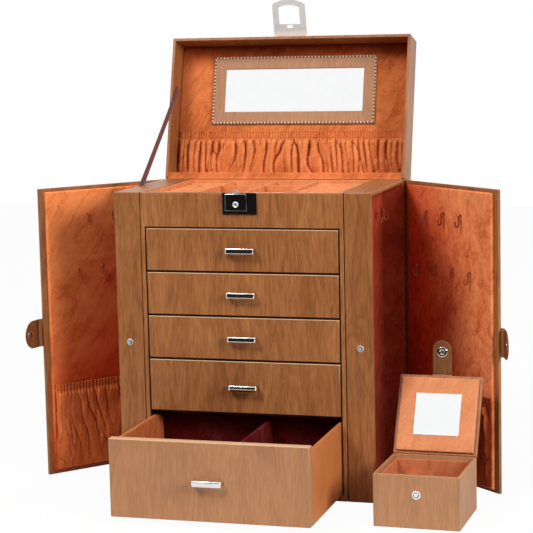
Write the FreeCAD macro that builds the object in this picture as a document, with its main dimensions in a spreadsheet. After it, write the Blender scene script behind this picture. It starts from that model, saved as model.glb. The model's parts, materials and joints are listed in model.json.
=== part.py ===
import FreeCAD, Part
import math
import os
import re
import Sketcher
from types import SimpleNamespace
from FreeCAD import Placement, Rotation, Vector

# Driving dimensions, in millimetres and degrees. The origin is the middle of the cabinet's
# base, with +X to the right of someone who faces it and +Y to its back.
SIZES = {
    # Cabinet
    "cabinet_width": 290, "cabinet_depth": 170, "cabinet_height": 336,
    "front_thickness": 6, "back_thickness": 4, "side_wall_thickness": 4,
    "base_thickness": 4.5, "top_thickness": 4, "shelf_thickness": 2.5,
    "stile_width": 30, "stile_groove": 0.8, "frame_border": 5,
    "edge_round": 0.9, "seat_gap": 0.3,
    # Side compartments
    "lining_thickness": 1.2, "wall_pad_thickness": 6,
    # Drawers, counted from the top
    "small_drawer_pitch": 48.5, "middle_drawer_pitch": 59.5, "bottom_drawer_pitch": 86,
    "drawer_gap": 2, "drawer_lift": 0.5, "drawer_side_gap": 1.5, "drawer_box_inset": 0.3,
    "drawer_front_thickness": 10, "drawer_stop_gap": 1, "drawer_back_gap": 3,
    "drawer_wall": 3, "drawer_side_drop": 5, "drawer_lining": 1.2, "drawer_lining_drop": 1,
    "drawer_travel": 133, "drawer_divider_offset": 22, "drawer_divider_drop": 3,
    "pull_width": 33, "pull_height": 6.4, "pull_reach": 9, "pull_thickness": 2,
    "pull_bend": 3,
    # Tray in the top
    "tray_wall": 2, "tray_rim_drop": 0.5, "tray_divider": 3, "tray_divider_drop": 2.5,
    "tray_left_divider": -58, "tray_middle_divider": -6, "tray_right_divider": 42,
    "tray_cross_divider": 28, "roll_count": 8, "roll_gap": 0.8, "roll_drop": 4,
    "roll_crown": 8,
    # Leather folds that serve as hinges
    "hinge_offset": 0.2, "fold_radius": 1.2, "fold_clearance": 0.3,
    "hinge_flap_width": 11, "hinge_flap_thickness": 0.6, "hinge_end_gap": 2,
    # Lid
    "lid_depth": 36, "lid_wall": 3, "lid_lean": 15, "lid_panel_thickness": 2.5,
    "lid_rail": 3.5, "mirror_width": 170, "mirror_height": 52, "mirror_thickness": 1.2,
    "mirror_corner": 0.5, "mirror_centre": 112, "mirror_play": 0.2,
    "mirror_frame_border": 15.4, "mirror_frame_thickness": 2.2, "mirror_frame_round": 0.7,
    "pocket_thickness": 1.2, "lid_pocket_height": 55.5, "lid_pocket_folds": 13,
    "lid_pocket_clear": 5, "lid_pocket_swing": 1.9,
    # Lock and hasp
    "lock_plate_width": 38.6, "lock_plate_height": 23.4, "lock_plate_thickness": 1.2,
    "lock_block_width": 24.3, "lock_block_height": 18.6, "lock_block_reach": 5.5,
    "lock_block_drop": 0.7, "lock_offset": -3, "lock_round": 0.8, "key_drop": 12.3,
    "cylinder_radius": 3.2, "cylinder_clearance": 0.05, "cylinder_length": 5.1,
    "cylinder_proud": 0.8, "keyway_width": 0.9, "keyway_height": 3.8, "keyway_depth": 2.5,
    "catch_width": 6, "catch_thickness": 1.5, "catch_rise": 3.3, "catch_depth": 4,
    "catch_clearance": 0.2, "catch_travel": 3.8, "catch_round": 2.4,
    "hasp_width": 40, "hasp_length": 46, "hasp_thickness": 1.6, "hasp_bar": 7,
    "hasp_arch": 6, "hasp_rise": 16.3, "hasp_rest_angle": 27, "hasp_seat": 0.2,
    "hasp_slot_width": 7, "hasp_slot_top": 4.6, "hasp_slot_bottom": 1.2,
    "hasp_window_gap": 0.6, "hasp_barrel_radius": 1.9, "hasp_barrel_width": 18,
    "hasp_pin_radius": 0.8, "hasp_pin_clearance": 0.05, "hasp_knuckle_gap": 0.4,
    "bracket_width": 34, "bracket_height": 12, "bracket_thickness": 1,
    # Side doors
    "door_length": 168, "door_thickness": 4, "door_bottom_gap": 1.5, "door_top_gap": 1,
    "left_door_opening": 39.4, "right_door_opening": 48,
    "door_pad_thickness": 3.5, "door_side_margin": 7, "door_end_margin": 4,
    "pad_round": 2, "door_pocket_height": 100, "door_pocket_folds": 8,
    "door_pocket_clear": 5, "door_pocket_swing": 1.6,
    # Hooks
    "hook_pitch": 31, "hook_drop": 39, "hook_row_step": 62, "hook_height": 15,
    "hook_wire_radius": 1.1, "hook_reach": 3, "hook_bend": 2.4, "hook_corner": 1.6,
    "hook_first": 46, "wall_hook_first": 34,
    # Straps and snaps
    "strap_thickness": 1.2, "strap_anchor": 14, "strap_gap": 0.15, "strap_play": 0.2,
    "snap_height": 169, "snap_inset": 13.7, "snap_flange_radius": 3.6,
    "snap_flange_thickness": 0.5, "snap_post_radius": 1.9, "snap_post_height": 2,
    "snap_round": 0.3, "snap_hole_radius": 2.4, "snap_ring_radius": 4.6,
    "snap_ring_thickness": 0.4, "door_strap_width": 32, "door_strap_length": 28,
    "door_strap_fold": 30,
    # Ribbon that stops the lid
    "ribbon_width": 11, "ribbon_thickness": 0.7, "ribbon_gap": 0.1, "ribbon_foot": 80,
    "ribbon_along_lid": 110, "ribbon_into_lid": 16, "ribbon_tab": 4,
    # Travel case, which stands beside the cabinet
    "case_width": 91, "case_depth": 88, "case_height": 56, "case_wall": 2.5,
    "case_side_gap": 17.7, "case_forward": 86.3, "case_turn": -1.3,
    "case_liner_gap": 0.2, "case_liner_wall": 3.5, "case_liner_drop": 4,
    "case_lid_thickness": 4, "case_lid_lean": 26.5, "case_fold_radius": 0.9,
    "case_pad_thickness": 3, "case_pad_margin": 3.4, "case_mirror_width": 49.5,
    "case_mirror_height": 46, "case_mirror_thickness": 0.8, "case_strap_width": 21,
    "case_strap_length": 38, "case_strap_fold": 26.5, "case_snap_height": 35.3,
    "case_flange_radius": 4.6, "case_ring_radius": 5.6,
}

doc = FreeCAD.newDocument("JewelryBox")
sheet = doc.addObject("Spreadsheet::Sheet", "Sizes")
for row, (alias, value) in enumerate(SIZES.items(), 1):
    sheet.set(f"A{row}", alias)
    sheet.set(f"B{row}", str(value))
    sheet.setAlias(f"B{row}", alias)
doc.recompute()
size = SimpleNamespace(**{alias: float(sheet.get(alias)) for alias in SIZES})

# Places worked out from the sheet, as expressions of its names
HALF_WIDTH = "cabinet_width / 2"
FRONT = "(-cabinet_depth / 2)"
BACK = "(cabinet_depth / 2)"
TOP = "cabinet_height"
INNER_FRONT = f"({FRONT} + front_thickness)"
INNER_BACK = f"({BACK} - back_thickness)"
BAY = "(cabinet_width / 2 - stile_width - frame_border)"
BAY_WALL = f"({BAY} + side_wall_thickness)"
WALL_PAD = f"({BAY_WALL} + wall_pad_thickness)"
BASE_RAIL = "(base_thickness + shelf_thickness)"
DRAWER_PITCHES = ["small_drawer_pitch"] * 3 + ["middle_drawer_pitch", "bottom_drawer_pitch"]
DRAWER_LEVELS = [f"({' + '.join([BASE_RAIL] + DRAWER_PITCHES[number:])})"
                 for number in range(1, len(DRAWER_PITCHES) + 1)]
TRAY_FLOOR = f"({' + '.join([BASE_RAIL] + DRAWER_PITCHES)})"
HINGE_Y = f"({BACK} + hinge_offset)"
LID_HINGE_Z = f"({TOP} + hinge_offset)"
DOOR_HINGE_X = f"({HALF_WIDTH} + hinge_offset)"
# How far past its board a strap folds, and how far past the fold its snap lies
DOOR_FOLD = ("(cabinet_depth + hinge_offset - door_length + strap_thickness / 2"
             " + snap_flange_thickness + snap_ring_thickness + strap_play)")
DOOR_SNAP = "(hinge_offset + seat_gap + door_thickness + strap_thickness / 2 + snap_inset)"
CASE_FOLD = "(strap_thickness / 2 + snap_flange_thickness + snap_ring_thickness + strap_play)"
CASE_SNAP = ("(case_height + seat_gap + case_lid_thickness + strap_thickness / 2"
             " - case_snap_height)")
# With the lid shut: the hasp's outer face and its pin, and the top of the lock's block
HASP_FACE = f"({FRONT} - lock_plate_thickness - hasp_seat - hasp_thickness)"
HASP_PIN_Y = f"({FRONT} - bracket_thickness - hasp_barrel_radius)"
BLOCK_TOP = f"({TOP} - lock_block_drop)"
SIDES = {"left": -1, "right": 1}

ALIAS = re.compile(r"\b(" + "|".join(SIZES) + r")\b")
parts = {}


def bound(text):
    """The expression with each name pointed at its cell in the sheet."""
    return ALIAS.sub(r"Sizes.\1", str(text))


reader = doc.addObject("App::FeaturePython", "Reader")
reader.addProperty("App::PropertyFloat", "Value")


def value_of(text):
    """The number that an expression of the sheet's names comes to."""
    reader.setExpression("Value", bound(text))
    reader.recompute()
    return reader.Value


def at(*texts):
    return Vector(*(value_of(text) for text in texts))


def turned(axis, degrees):
    return Rotation(Vector(*axis), degrees)


X_AXIS, Y_AXIS, Z_AXIS = (1, 0, 0), (0, 1, 0), (0, 0, 1)


def block(name, x, y, z):
    """A box between pairs of expressions."""
    solid = doc.addObject("Part::Box", name)
    for prop, axis, (low, high) in zip(("Length", "Width", "Height"), "xyz", (x, y, z)):
        solid.setExpression(prop, bound(f"({high}) - ({low})"))
        solid.setExpression(f"Placement.Base.{axis}", bound(low))
    return solid


def rod(name, radius, length, start, rotation=Rotation()):
    """A cylinder from a start point, along +Z unless it is turned."""
    solid = doc.addObject("Part::Cylinder", name)
    solid.setExpression("Radius", bound(radius))
    solid.setExpression("Height", bound(length))
    solid.Placement = Placement(Vector(), rotation)
    for axis, text in zip("xyz", start):
        solid.setExpression(f"Placement.Base.{axis}", bound(text))
    return solid


ALONG_X = turned(Y_AXIS, 90)


def fused(name, *pieces):
    joint = doc.addObject("Part::MultiFuse", name)
    joint.Shapes = list(pieces)
    return joint


def cut(name, base, *tools):
    result = doc.addObject("Part::Cut", name)
    result.Base = base
    result.Tool = tools[0] if len(tools) == 1 else fused(name + "_tools", *tools)
    return result


def group(name, *pieces):
    """Separate solids that share one node."""
    compound = doc.addObject("Part::Compound", name)
    compound.Links = list(pieces)
    return compound


def rounded(name, base, radius, chosen=lambda edge: True):
    """The base with the chosen edges rounded by the radius, which is a name in the sheet."""
    doc.recompute()
    fillet = doc.addObject("Part::Fillet", name)
    fillet.Base = base
    fillet.Edges = [(number, getattr(size, radius), getattr(size, radius))
                    for number, edge in enumerate(base.Shape.Edges, 1) if chosen(edge)]
    return fillet


def lies_on(axis, text):
    """Chooses edges that lie in the plane where the axis has this value."""
    level = value_of(text)

    def chosen(edge):
        return all(abs(getattr(vertex.Point, axis) - level) < 1e-4 for vertex in edge.Vertexes)
    return chosen


def runs_along(axis):
    """Chooses straight edges parallel to the axis."""
    def chosen(edge):
        if edge.Curve.TypeId != "Part::GeomLine":
            return False
        return abs(abs(getattr(edge.Curve.Direction, axis)) - 1) < 1e-6
    return chosen


def both(first, second):
    return lambda edge: first(edge) and second(edge)


def sketch(body, plane, *loops):
    """A sketch whose points and radii are bound to the sheet.

    A loop is (x, y, radius) alone for a circle, or a list of corners, anticlockwise. A corner
    with a third value starts an arc to the next, about a centre at that height."""
    drawing = body.newObject("Sketcher::SketchObject", body.Name + "_sketch")
    origin = next(item for item in body.Origin.OriginFeatures if item.Role == plane)
    drawing.AttachmentSupport = [(origin, "")]
    drawing.MapMode = "FlatFace"

    def bind(kind, *place):
        text = place[-1]
        number = drawing.addConstraint(
            Sketcher.Constraint(kind, *place[:-1], value_of(text)))
        drawing.setExpression(f"Constraints[{number}]", bound(text))

    for loop in loops:
        if isinstance(loop, tuple):
            x, y, radius = loop
            circle = Part.Circle(at(x, y, 0), Vector(0, 0, 1), value_of(radius))
            edge = drawing.addGeometry(circle, False)
            bind("DistanceX", edge, 3, x)
            bind("DistanceY", edge, 3, y)
            bind("Radius", edge, radius)
            continue
        first = drawing.GeometryCount
        for corner, following in zip(loop, loop[1:] + loop[:1]):
            start, end = at(*corner[:2], 0), at(*following[:2], 0)
            shape = Part.LineSegment(start, end)
            if len(corner) == 3:
                shape = level_arc(start, end, value_of(corner[2]))
            drawing.addGeometry(shape, False)
        for number, corner in enumerate(loop):
            edge = first + number
            follower = first + (number + 1) % len(loop)
            drawing.addConstraint(Sketcher.Constraint("Coincident", edge, 2, follower, 1))
            bind("DistanceX", edge, 1, corner[0])
            bind("DistanceY", edge, 1, corner[1])
            if len(corner) == 3:
                bind("DistanceY", edge, 3, corner[2])
    return drawing


def level_arc(start, end, height):
    """The arc, anticlockwise, between two points level with each other."""
    centre = Vector((start.x + end.x) / 2, height, 0)
    angles = [math.atan2(point.y - centre.y, point.x - centre.x) for point in (start, end)]
    return Part.ArcOfCircle(Part.Circle(centre, Vector(0, 0, 1), (start - centre).Length),
                            *angles)


def body_named(name):
    return doc.addObject("PartDesign::Body", name)


def pad(body, drawing, length, midplane=False, reverse=False):
    """Adds the sketch's area, through the length, to the body."""
    feature = body.newObject("PartDesign::Pad", body.Name + "_pad")
    feature.Profile = drawing
    feature.setExpression("Length", bound(length))
    feature.Midplane = midplane
    feature.Reversed = reverse
    drawing.Visibility = False
    doc.recompute()
    return feature


def pocket(body, drawing, length, reverse=False):
    """Takes the sketch's area, through the length, out of the body."""
    before = body.Shape.Volume
    feature = body.newObject("PartDesign::Pocket", body.Name + "_pocket")
    feature.Profile = drawing
    feature.setExpression("Length", bound(length))
    feature.Reversed = reverse
    doc.recompute()
    if body.Shape.Volume >= before:
        raise RuntimeError(f"{feature.Label} takes nothing away")
    return feature


def body_fillet(body, radius, chosen):
    """Rounds the chosen edges of the body's tip."""
    tip = body.Tip
    names = [f"Edge{number}" for number, edge in enumerate(tip.Shape.Edges, 1) if chosen(edge)]
    feature = body.newObject("PartDesign::Fillet", body.Name + "_fillet")
    feature.Base = (tip, names)
    feature.setExpression("Radius", bound(radius))
    doc.recompute()
    return feature


def shift(piece, x="0", y="0", z="0"):
    """Binds the place of a body to expressions."""
    for axis, text in zip("xyz", (x, y, z)):
        piece.setExpression(f"Placement.Base.{axis}", bound(text))


def formed(name, shape):
    """A piece whose form comes from a formula."""
    feature = doc.addObject("Part::Feature", name)
    feature.Shape = shape
    return feature


def keep(label, piece, frame=None):
    """Names a finished piece and sets it in its frame."""
    piece.Label = label
    if frame is not None:
        piece.Placement = frame
    parts[label] = piece


def mirrored(side, low, high):
    """A span of X on the right, or its mirror image on the left."""
    return (low, high) if side > 0 else (f"-({high})", f"-({low})")


# Frames of the moving groups, in their pose at rest
lid_frame = Placement(at(0, HINGE_Y, LID_HINGE_Z), turned(X_AXIS, -(90 + size.lid_lean)))
door_frames = {
    "left": Placement(at(f"-{DOOR_HINGE_X}", HINGE_Y, 0), turned(Z_AXIS, -size.left_door_opening)),
    "right": Placement(at(DOOR_HINGE_X, HINGE_Y, 0), turned(Z_AXIS, size.right_door_opening)),
}
case_frame = Placement(at(f"{HALF_WIDTH} + case_side_gap", f"{FRONT} - case_forward", 0),
                       turned(Z_AXIS, size.case_turn))
case_lid_frame = case_frame * Placement(
    at(0, "case_depth + hinge_offset", "case_height + hinge_offset"),
    turned(X_AXIS, -(90 + size.case_lid_lean)))


def hook_shape(out):
    """One wire hook, its foot at the origin, that leaves along the unit vector and hangs down."""
    up = Vector(0, 0, 1)
    radius, reach, bend = size.hook_wire_radius, size.hook_reach, size.hook_bend
    corner = size.hook_corner
    inside = corner * (1 - math.sqrt(0.5))
    top = up * (size.hook_height / 2 - radius)
    turn = top + out * (reach - corner)
    turn_middle = top + out * (reach - inside) - up * inside
    stem = top + out * reach - up * corner
    stem_end = top + out * reach - up * (size.hook_height - 2 * radius - bend)
    lowest = stem_end + out * bend - up * bend
    tip_start = stem_end + out * (2 * bend)
    tip = tip_start + up * (size.hook_height / 4)
    path = Part.Wire([
        Part.LineSegment(top, turn).toShape(),
        Part.Arc(turn, turn_middle, stem).toShape(),
        Part.LineSegment(stem, stem_end).toShape(),
        Part.Arc(stem_end, lowest, tip_start).toShape(),
        Part.LineSegment(tip_start, tip).toShape()])
    section = Part.Wire([Part.Circle(top, out, radius).toShape()])
    return path.makePipeShell([section], True, True)


def hook_rows(name, out, places):
    """Hooks that leave along the unit vector from each of the places."""
    hook = hook_shape(out)
    hooks = []
    for place in places:
        copy = hook.copy()
        copy.translate(place)
        hooks.append(copy)
    return formed(name, Part.makeCompound(hooks))


def gathered_pocket(width, folds, height, clear, swing):
    """A gathered cloth front that stands off the plane Y = 0 towards -Y.

    It is sewn down along its foot and both sides, bellies out, and is drawn in under its
    header band, which stands nearly flat."""
    levels = [(0, 0.06, 0.25), (0.3, 0.92, 1), (0.66, 1, 1), (0.85, 0.5, 0.35), (1, 0.5, 0.25)]
    pitch = width / folds
    unevenness = 0.16
    inner_marks = [-width / 2 + pitch * (number / 2 + unevenness * math.sin(2.3 * number))
                   for number in range(1, int(2 * folds))]
    marks = [-width / 2] + inner_marks + [width / 2]

    def lane(level, belly, depth, setback):
        """One face of the cloth at this level: arcs that swing out and in by turns."""
        hem = -setback - size.seat_gap
        crest = min(-setback - belly * clear - depth * swing, hem)
        points = [Vector(x, crest, level * height) for x in marks]
        points[0].y = points[-1].y = hem
        arcs = []
        for number, (first, last) in enumerate(zip(points, points[1:])):
            bow = Vector(0, depth * swing * (1 if number % 2 else -1), 0)
            arcs.append(Part.Arc(first, (first + last) * 0.5 + bow, last).toShape())
        return points, arcs

    def outline(level, belly, depth):
        front_points, front_arcs = lane(level, belly, depth, size.pocket_thickness)
        back_points, back_arcs = lane(level, belly, depth, 0)
        return Part.Wire([
            *front_arcs, Part.LineSegment(front_points[-1], back_points[-1]).toShape(),
            *reversed(back_arcs), Part.LineSegment(back_points[0], front_points[0]).toShape()])

    return Part.makeLoft([outline(*level) for level in levels], True, True)


def carcass():
    inside = (INNER_FRONT, INNER_BACK)
    keep("base_board", block("Base", (f"-{HALF_WIDTH}", HALF_WIDTH), inside,
                             (0, "base_thickness")))

    back = block("Back", (f"-{HALF_WIDTH}", HALF_WIDTH), (INNER_BACK, BACK), (0, TOP))
    clearance = "fold_radius + fold_clearance"
    slots = [rod("Back_left_slot", clearance, TOP, (f"-{DOOR_HINGE_X}", HINGE_Y, 0)),
             rod("Back_right_slot", clearance, TOP, (DOOR_HINGE_X, HINGE_Y, 0)),
             rod("Back_top_slot", clearance, "cabinet_width",
                 (f"-{HALF_WIDTH}", HINGE_Y, LID_HINGE_Z), ALONG_X)]
    keep("back_panel", cut("Back_panel", back, *slots))

    on_front = lies_on("y", FRONT)
    for name, side in SIDES.items():
        span = mirrored(side, f"{HALF_WIDTH} - stile_width + stile_groove / 2", HALF_WIDTH)
        stile = block(f"Stile_{name}_board", span, (FRONT, INNER_FRONT), (0, TOP))
        keep(f"{name}_stile", rounded(f"Stile_{name}", stile, "edge_round", on_front))

    half = f"({HALF_WIDTH} - stile_width - stile_groove / 2)"
    plate = block("Frame_plate", (f"-{half}", half), (FRONT, INNER_FRONT), (0, TOP))
    through = (f"{FRONT} - front_thickness", f"{INNER_FRONT} + front_thickness")
    opening = block("Frame_opening", (f"-{BAY}", BAY), through, (BASE_RAIL, TRAY_FLOOR))
    keep("front_frame", rounded("Frame", cut("Frame_cut", plate, opening), "edge_round",
                                on_front))

    walls = [block(f"Wall_{name}", mirrored(side, BAY, BAY_WALL), inside,
                   ("base_thickness", f"{TOP} - top_thickness"))
             for name, side in SIDES.items()]
    keep("side_walls", group("Walls", *walls))

    behind_fronts = f"{FRONT} + drawer_front_thickness + drawer_stop_gap"
    shelves = [block(f"Shelf_{number}", (f"-{BAY}", BAY),
                     (INNER_FRONT if level == BASE_RAIL else behind_fronts, INNER_BACK),
                     (f"{level} - shelf_thickness", level))
               for number, level in enumerate(DRAWER_LEVELS[:-1] + [BASE_RAIL, TRAY_FLOOR])]
    keep("shelves", group("Shelves", *shelves))

    tops = []
    for name, side in SIDES.items():
        board = block(f"Top_{name}_board", mirrored(side, BAY, HALF_WIDTH), inside,
                      (f"{TOP} - top_thickness", TOP))
        outer = both(lies_on("x", f"{side} * {HALF_WIDTH}"), runs_along("y"))
        tops.append(rounded(f"Top_{name}", board, "edge_round", outer))
    keep("top_boards", group("Tops", *tops))


def side_compartments():
    levels = ("base_thickness", f"{TOP} - top_thickness")
    linings = []
    for name, side in SIDES.items():
        outer = block(f"Lining_{name}_outer",
                      mirrored(side, BAY_WALL, f"{HALF_WIDTH} - seat_gap"),
                      (INNER_FRONT, INNER_BACK), levels)
        hollow = block(f"Lining_{name}_hollow", mirrored(side, WALL_PAD, HALF_WIDTH),
                       (f"{INNER_FRONT} + lining_thickness",
                        f"{INNER_BACK} - lining_thickness"), levels)
        linings.append(cut(f"Lining_{name}", outer, hollow))
    keep("compartment_linings", group("Linings", *linings))

    rows = []
    for name, side in SIDES.items():
        first = at(f"{side} * {WALL_PAD}", f"{FRONT} + wall_hook_first", f"{TOP} - hook_drop")
        places = [first + Vector(0, number * size.hook_pitch, 0) for number in range(5)]
        rows.append(hook_rows(f"Wall_hooks_{name}", Vector(side, 0, 0), places))
    keep("wall_hooks", group("Wall_hooks", *rows))


def tray():
    half = f"({BAY} - seat_gap)"
    depth = (f"{INNER_FRONT} + seat_gap", f"{INNER_BACK} - seat_gap")
    inner_half = f"({half} - tray_wall)"
    inner_depth = (f"{depth[0]} + tray_wall", f"{depth[1]} - tray_wall")
    floor = f"({TRAY_FLOOR} + tray_wall)"
    outer = block("Tray_outer", (f"-{half}", half), depth,
                  (TRAY_FLOOR, f"{TOP} - tray_rim_drop"))
    hollow = block("Tray_hollow", (f"-{inner_half}", inner_half), inner_depth, (floor, TOP))
    pieces = [cut("Tray_shell", outer, hollow)]
    levels = (floor, f"{TOP} - tray_divider_drop")
    dividers = ("tray_left_divider", "tray_middle_divider", "tray_right_divider")
    half_divider = "tray_divider / 2"
    for divider in dividers:
        pieces.append(block(f"Block_{divider}",
                            (f"{divider} - {half_divider}", f"{divider} + {half_divider}"),
                            inner_depth, levels))
    cross = (f"tray_cross_divider - {half_divider}", f"tray_cross_divider + {half_divider}")
    for left, right in zip(dividers, dividers[1:]):
        pieces.append(block(f"Cross_{left}",
                            (f"{left} + {half_divider}", f"{right} - {half_divider}"),
                            cross, levels))
    keep("tray_liner", group("Tray", *pieces))

    reach = size.tray_divider / 2 + size.seat_gap
    edge = value_of(inner_half) - size.seat_gap
    banks = ((-edge, size.tray_left_divider - reach), (size.tray_right_divider + reach, edge))
    low, high = (value_of(text) for text in inner_depth)
    pitch = (high - low - size.roll_gap) / size.roll_count
    bottom, top = value_of(floor), value_of(f"{TOP} - roll_drop")
    rolls = []
    for left, right in banks:
        for number in range(int(size.roll_count)):
            first = low + size.roll_gap + number * pitch
            last = first + pitch - size.roll_gap
            shoulder = top - size.roll_crown
            corners = [Vector(left, first, shoulder), Vector(left, first, bottom),
                       Vector(left, last, bottom), Vector(left, last, shoulder)]
            crest = Vector(left, (first + last) / 2, top)
            sides = [Part.LineSegment(*pair).toShape() for pair in zip(corners, corners[1:])]
            crown = Part.Arc(corners[-1], crest, corners[0]).toShape()
            section = Part.Face(Part.Wire([*sides, crown]))
            rolls.append(section.extrude(Vector(right - left, 0, 0)))
    keep("ring_rolls", formed("Ring_rolls", Part.makeCompound(rolls)))


def drawer(number, level, pitch):
    """Front, box and pull of one drawer; the bottom drawer is open and divided in two."""
    name = f"drawer_{number}"
    is_bottom = number == len(DRAWER_LEVELS)
    frame = Placement(Vector(0, -size.drawer_travel if is_bottom else 0, 0), Rotation())
    low = f"({level} + drawer_lift)"
    high = f"({low} + {pitch} - drawer_gap)"
    half = f"({BAY} - drawer_side_gap)"
    rear = f"({FRONT} + drawer_front_thickness)"
    board = block(f"{name}_board", (f"-{half}", half), (FRONT, rear), (low, high))
    keep(f"{name}_front", rounded(f"{name}_face", board, "edge_round", lies_on("y", FRONT)),
         frame)

    side = f"({half} - drawer_box_inset)"
    end = f"({INNER_BACK} - drawer_back_gap)"
    top = f"({high} - drawer_side_drop)"
    outer = block(f"{name}_outer", (f"-{side}", side), (rear, end), (low, top))
    inner_side = f"({side} - drawer_wall)"
    inner_depth = (f"{rear} + drawer_wall", f"{end} - drawer_wall")
    floor = f"({low} + drawer_wall)"
    hollow = block(f"{name}_hollow", (f"-{inner_side}", inner_side), inner_depth, (floor, high))
    shell = cut(f"{name}_shell", outer, hollow)

    rim = f"({top} - drawer_lining_drop)"
    liner = block(f"{name}_liner_outer", (f"-{inner_side}", inner_side), inner_depth,
                  (floor, rim))
    liner_side = f"({inner_side} - drawer_lining)"
    liner_depth = (f"{inner_depth[0]} + drawer_lining", f"{inner_depth[1]} - drawer_lining")
    liner_floor = f"({floor} + drawer_lining)"
    space = block(f"{name}_liner_space", (f"-{liner_side}", liner_side), liner_depth,
                  (liner_floor, high))
    lining = cut(f"{name}_liner", liner, space)
    if is_bottom:
        divider = block(f"{name}_divider",
                        ("drawer_divider_offset - drawer_wall / 2",
                         "drawer_divider_offset + drawer_wall / 2"),
                        liner_depth, (liner_floor, f"{rim} - drawer_divider_drop"))
        keep(f"{name}_box", shell, frame)
        keep(f"{name}_lining", group(f"{name}_linings", lining, divider), frame)
    else:
        keep(f"{name}_box", group(f"{name}_boxes", shell, lining), frame)
    pull(f"{name}_pull", f"({low} + {high}) / 2", frame)


def pull(label, middle, frame):
    """A bent strip with both feet on the drawer's front and room for fingers behind it."""
    body = body_named(f"{label}_body")
    half, thick, nose = "(pull_width / 2)", "pull_thickness", "(-pull_reach)"
    pad(body, sketch(body, "XY_Plane", [
        (f"-{half}", "0"), (f"-{half}", nose), (half, nose), (half, "0"),
        (f"{half} - {thick}", "0"), (f"{half} - {thick}", f"{nose} + {thick}"),
        (f"{thick} - {half}", f"{nose} + {thick}"), (f"{thick} - {half}", "0")]),
        "pull_height", midplane=True)
    upright = runs_along("z")
    body_fillet(body, "pull_bend", both(lies_on("y", nose), upright))
    body_fillet(body, "pull_bend - pull_thickness",
                both(lies_on("y", f"{nose} + {thick}"), upright))
    keep(label, body, frame * Placement(at(0, FRONT, middle), Rotation()))


def lid():
    rim = "(seat_gap - hinge_offset)"
    top = f"({rim} + lid_depth)"
    hinge_side = "(-hinge_offset)"
    free_side = "(-cabinet_depth - hinge_offset)"
    outer = block("Lid_outer", (f"-{HALF_WIDTH}", HALF_WIDTH), (free_side, hinge_side),
                  (rim, top))
    on_rim = lies_on("z", rim)
    outer = rounded("Lid_rounded", outer, "edge_round", lambda edge: not on_rim(edge))
    ceiling = f"({top} - lid_wall)"
    hollow = block("Lid_hollow", (f"lid_wall - {HALF_WIDTH}", f"{HALF_WIDTH} - lid_wall"),
                   (f"{free_side} + lid_wall", f"{hinge_side} - lid_wall"),
                   (f"{rim} - lid_wall", ceiling))
    slot = rod("Lid_slot", "fold_radius + fold_clearance", "cabinet_width",
               (f"-{HALF_WIDTH}", 0, 0), ALONG_X)
    keep("lid_shell", cut("Lid_shell", outer, hollow, slot), lid_frame)

    side = f"({HALF_WIDTH} - lid_wall - seat_gap)"
    panel_face = f"({ceiling} - lid_panel_thickness)"
    rail_face = f"({hinge_side} - lid_wall - lid_rail)"
    panel = block("Lid_panel", (f"-{side}", side),
                  (f"{free_side} + lid_wall + seat_gap", f"{hinge_side} - lid_wall"),
                  (panel_face, ceiling))
    rail = block("Lid_rail", (f"-{side}", side), (rail_face, f"{hinge_side} - lid_wall"),
                 (rim, panel_face))
    keep("lid_lining", group("Lid_lining", panel, rail), lid_frame)

    centre = "(-mirror_centre)"
    half_width, half_height = "mirror_width / 2", "mirror_height / 2"
    frame_face = f"({panel_face} - mirror_frame_thickness)"
    plate = block("Mirror_frame_plate",
                  (f"-{half_width} - mirror_frame_border",
                   f"{half_width} + mirror_frame_border"),
                  (f"{centre} - {half_height} - mirror_frame_border",
                   f"{centre} + {half_height} + mirror_frame_border"),
                  (frame_face, panel_face))
    window = block("Mirror_window", (f"-{half_width}", half_width),
                   (f"{centre} - {half_height}", f"{centre} + {half_height}"),
                   (f"{frame_face} - lid_wall", f"{panel_face} + lid_wall"))
    keep("lid_mirror_frame",
         rounded("Mirror_frame", cut("Mirror_frame_cut", plate, window), "mirror_frame_round",
                 lies_on("z", frame_face)), lid_frame)
    glass = block("Mirror_glass", (f"mirror_play - {half_width}", f"{half_width} - mirror_play"),
                  (f"{centre} - {half_height} + mirror_play",
                   f"{centre} + {half_height} - mirror_play"),
                  (f"{panel_face} - mirror_thickness", panel_face))
    keep("lid_mirror", rounded("Mirror", glass, "mirror_corner", runs_along("z")), lid_frame)

    cloth = gathered_pocket(2 * value_of(side), size.lid_pocket_folds, size.lid_pocket_height,
                            size.lid_pocket_clear, size.lid_pocket_swing)
    seat = Placement(at(0, f"{rail_face} - seat_gap", panel_face), turned(X_AXIS, 90))
    keep("lid_pocket", formed("Lid_pocket", cloth), lid_frame * seat)


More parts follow.
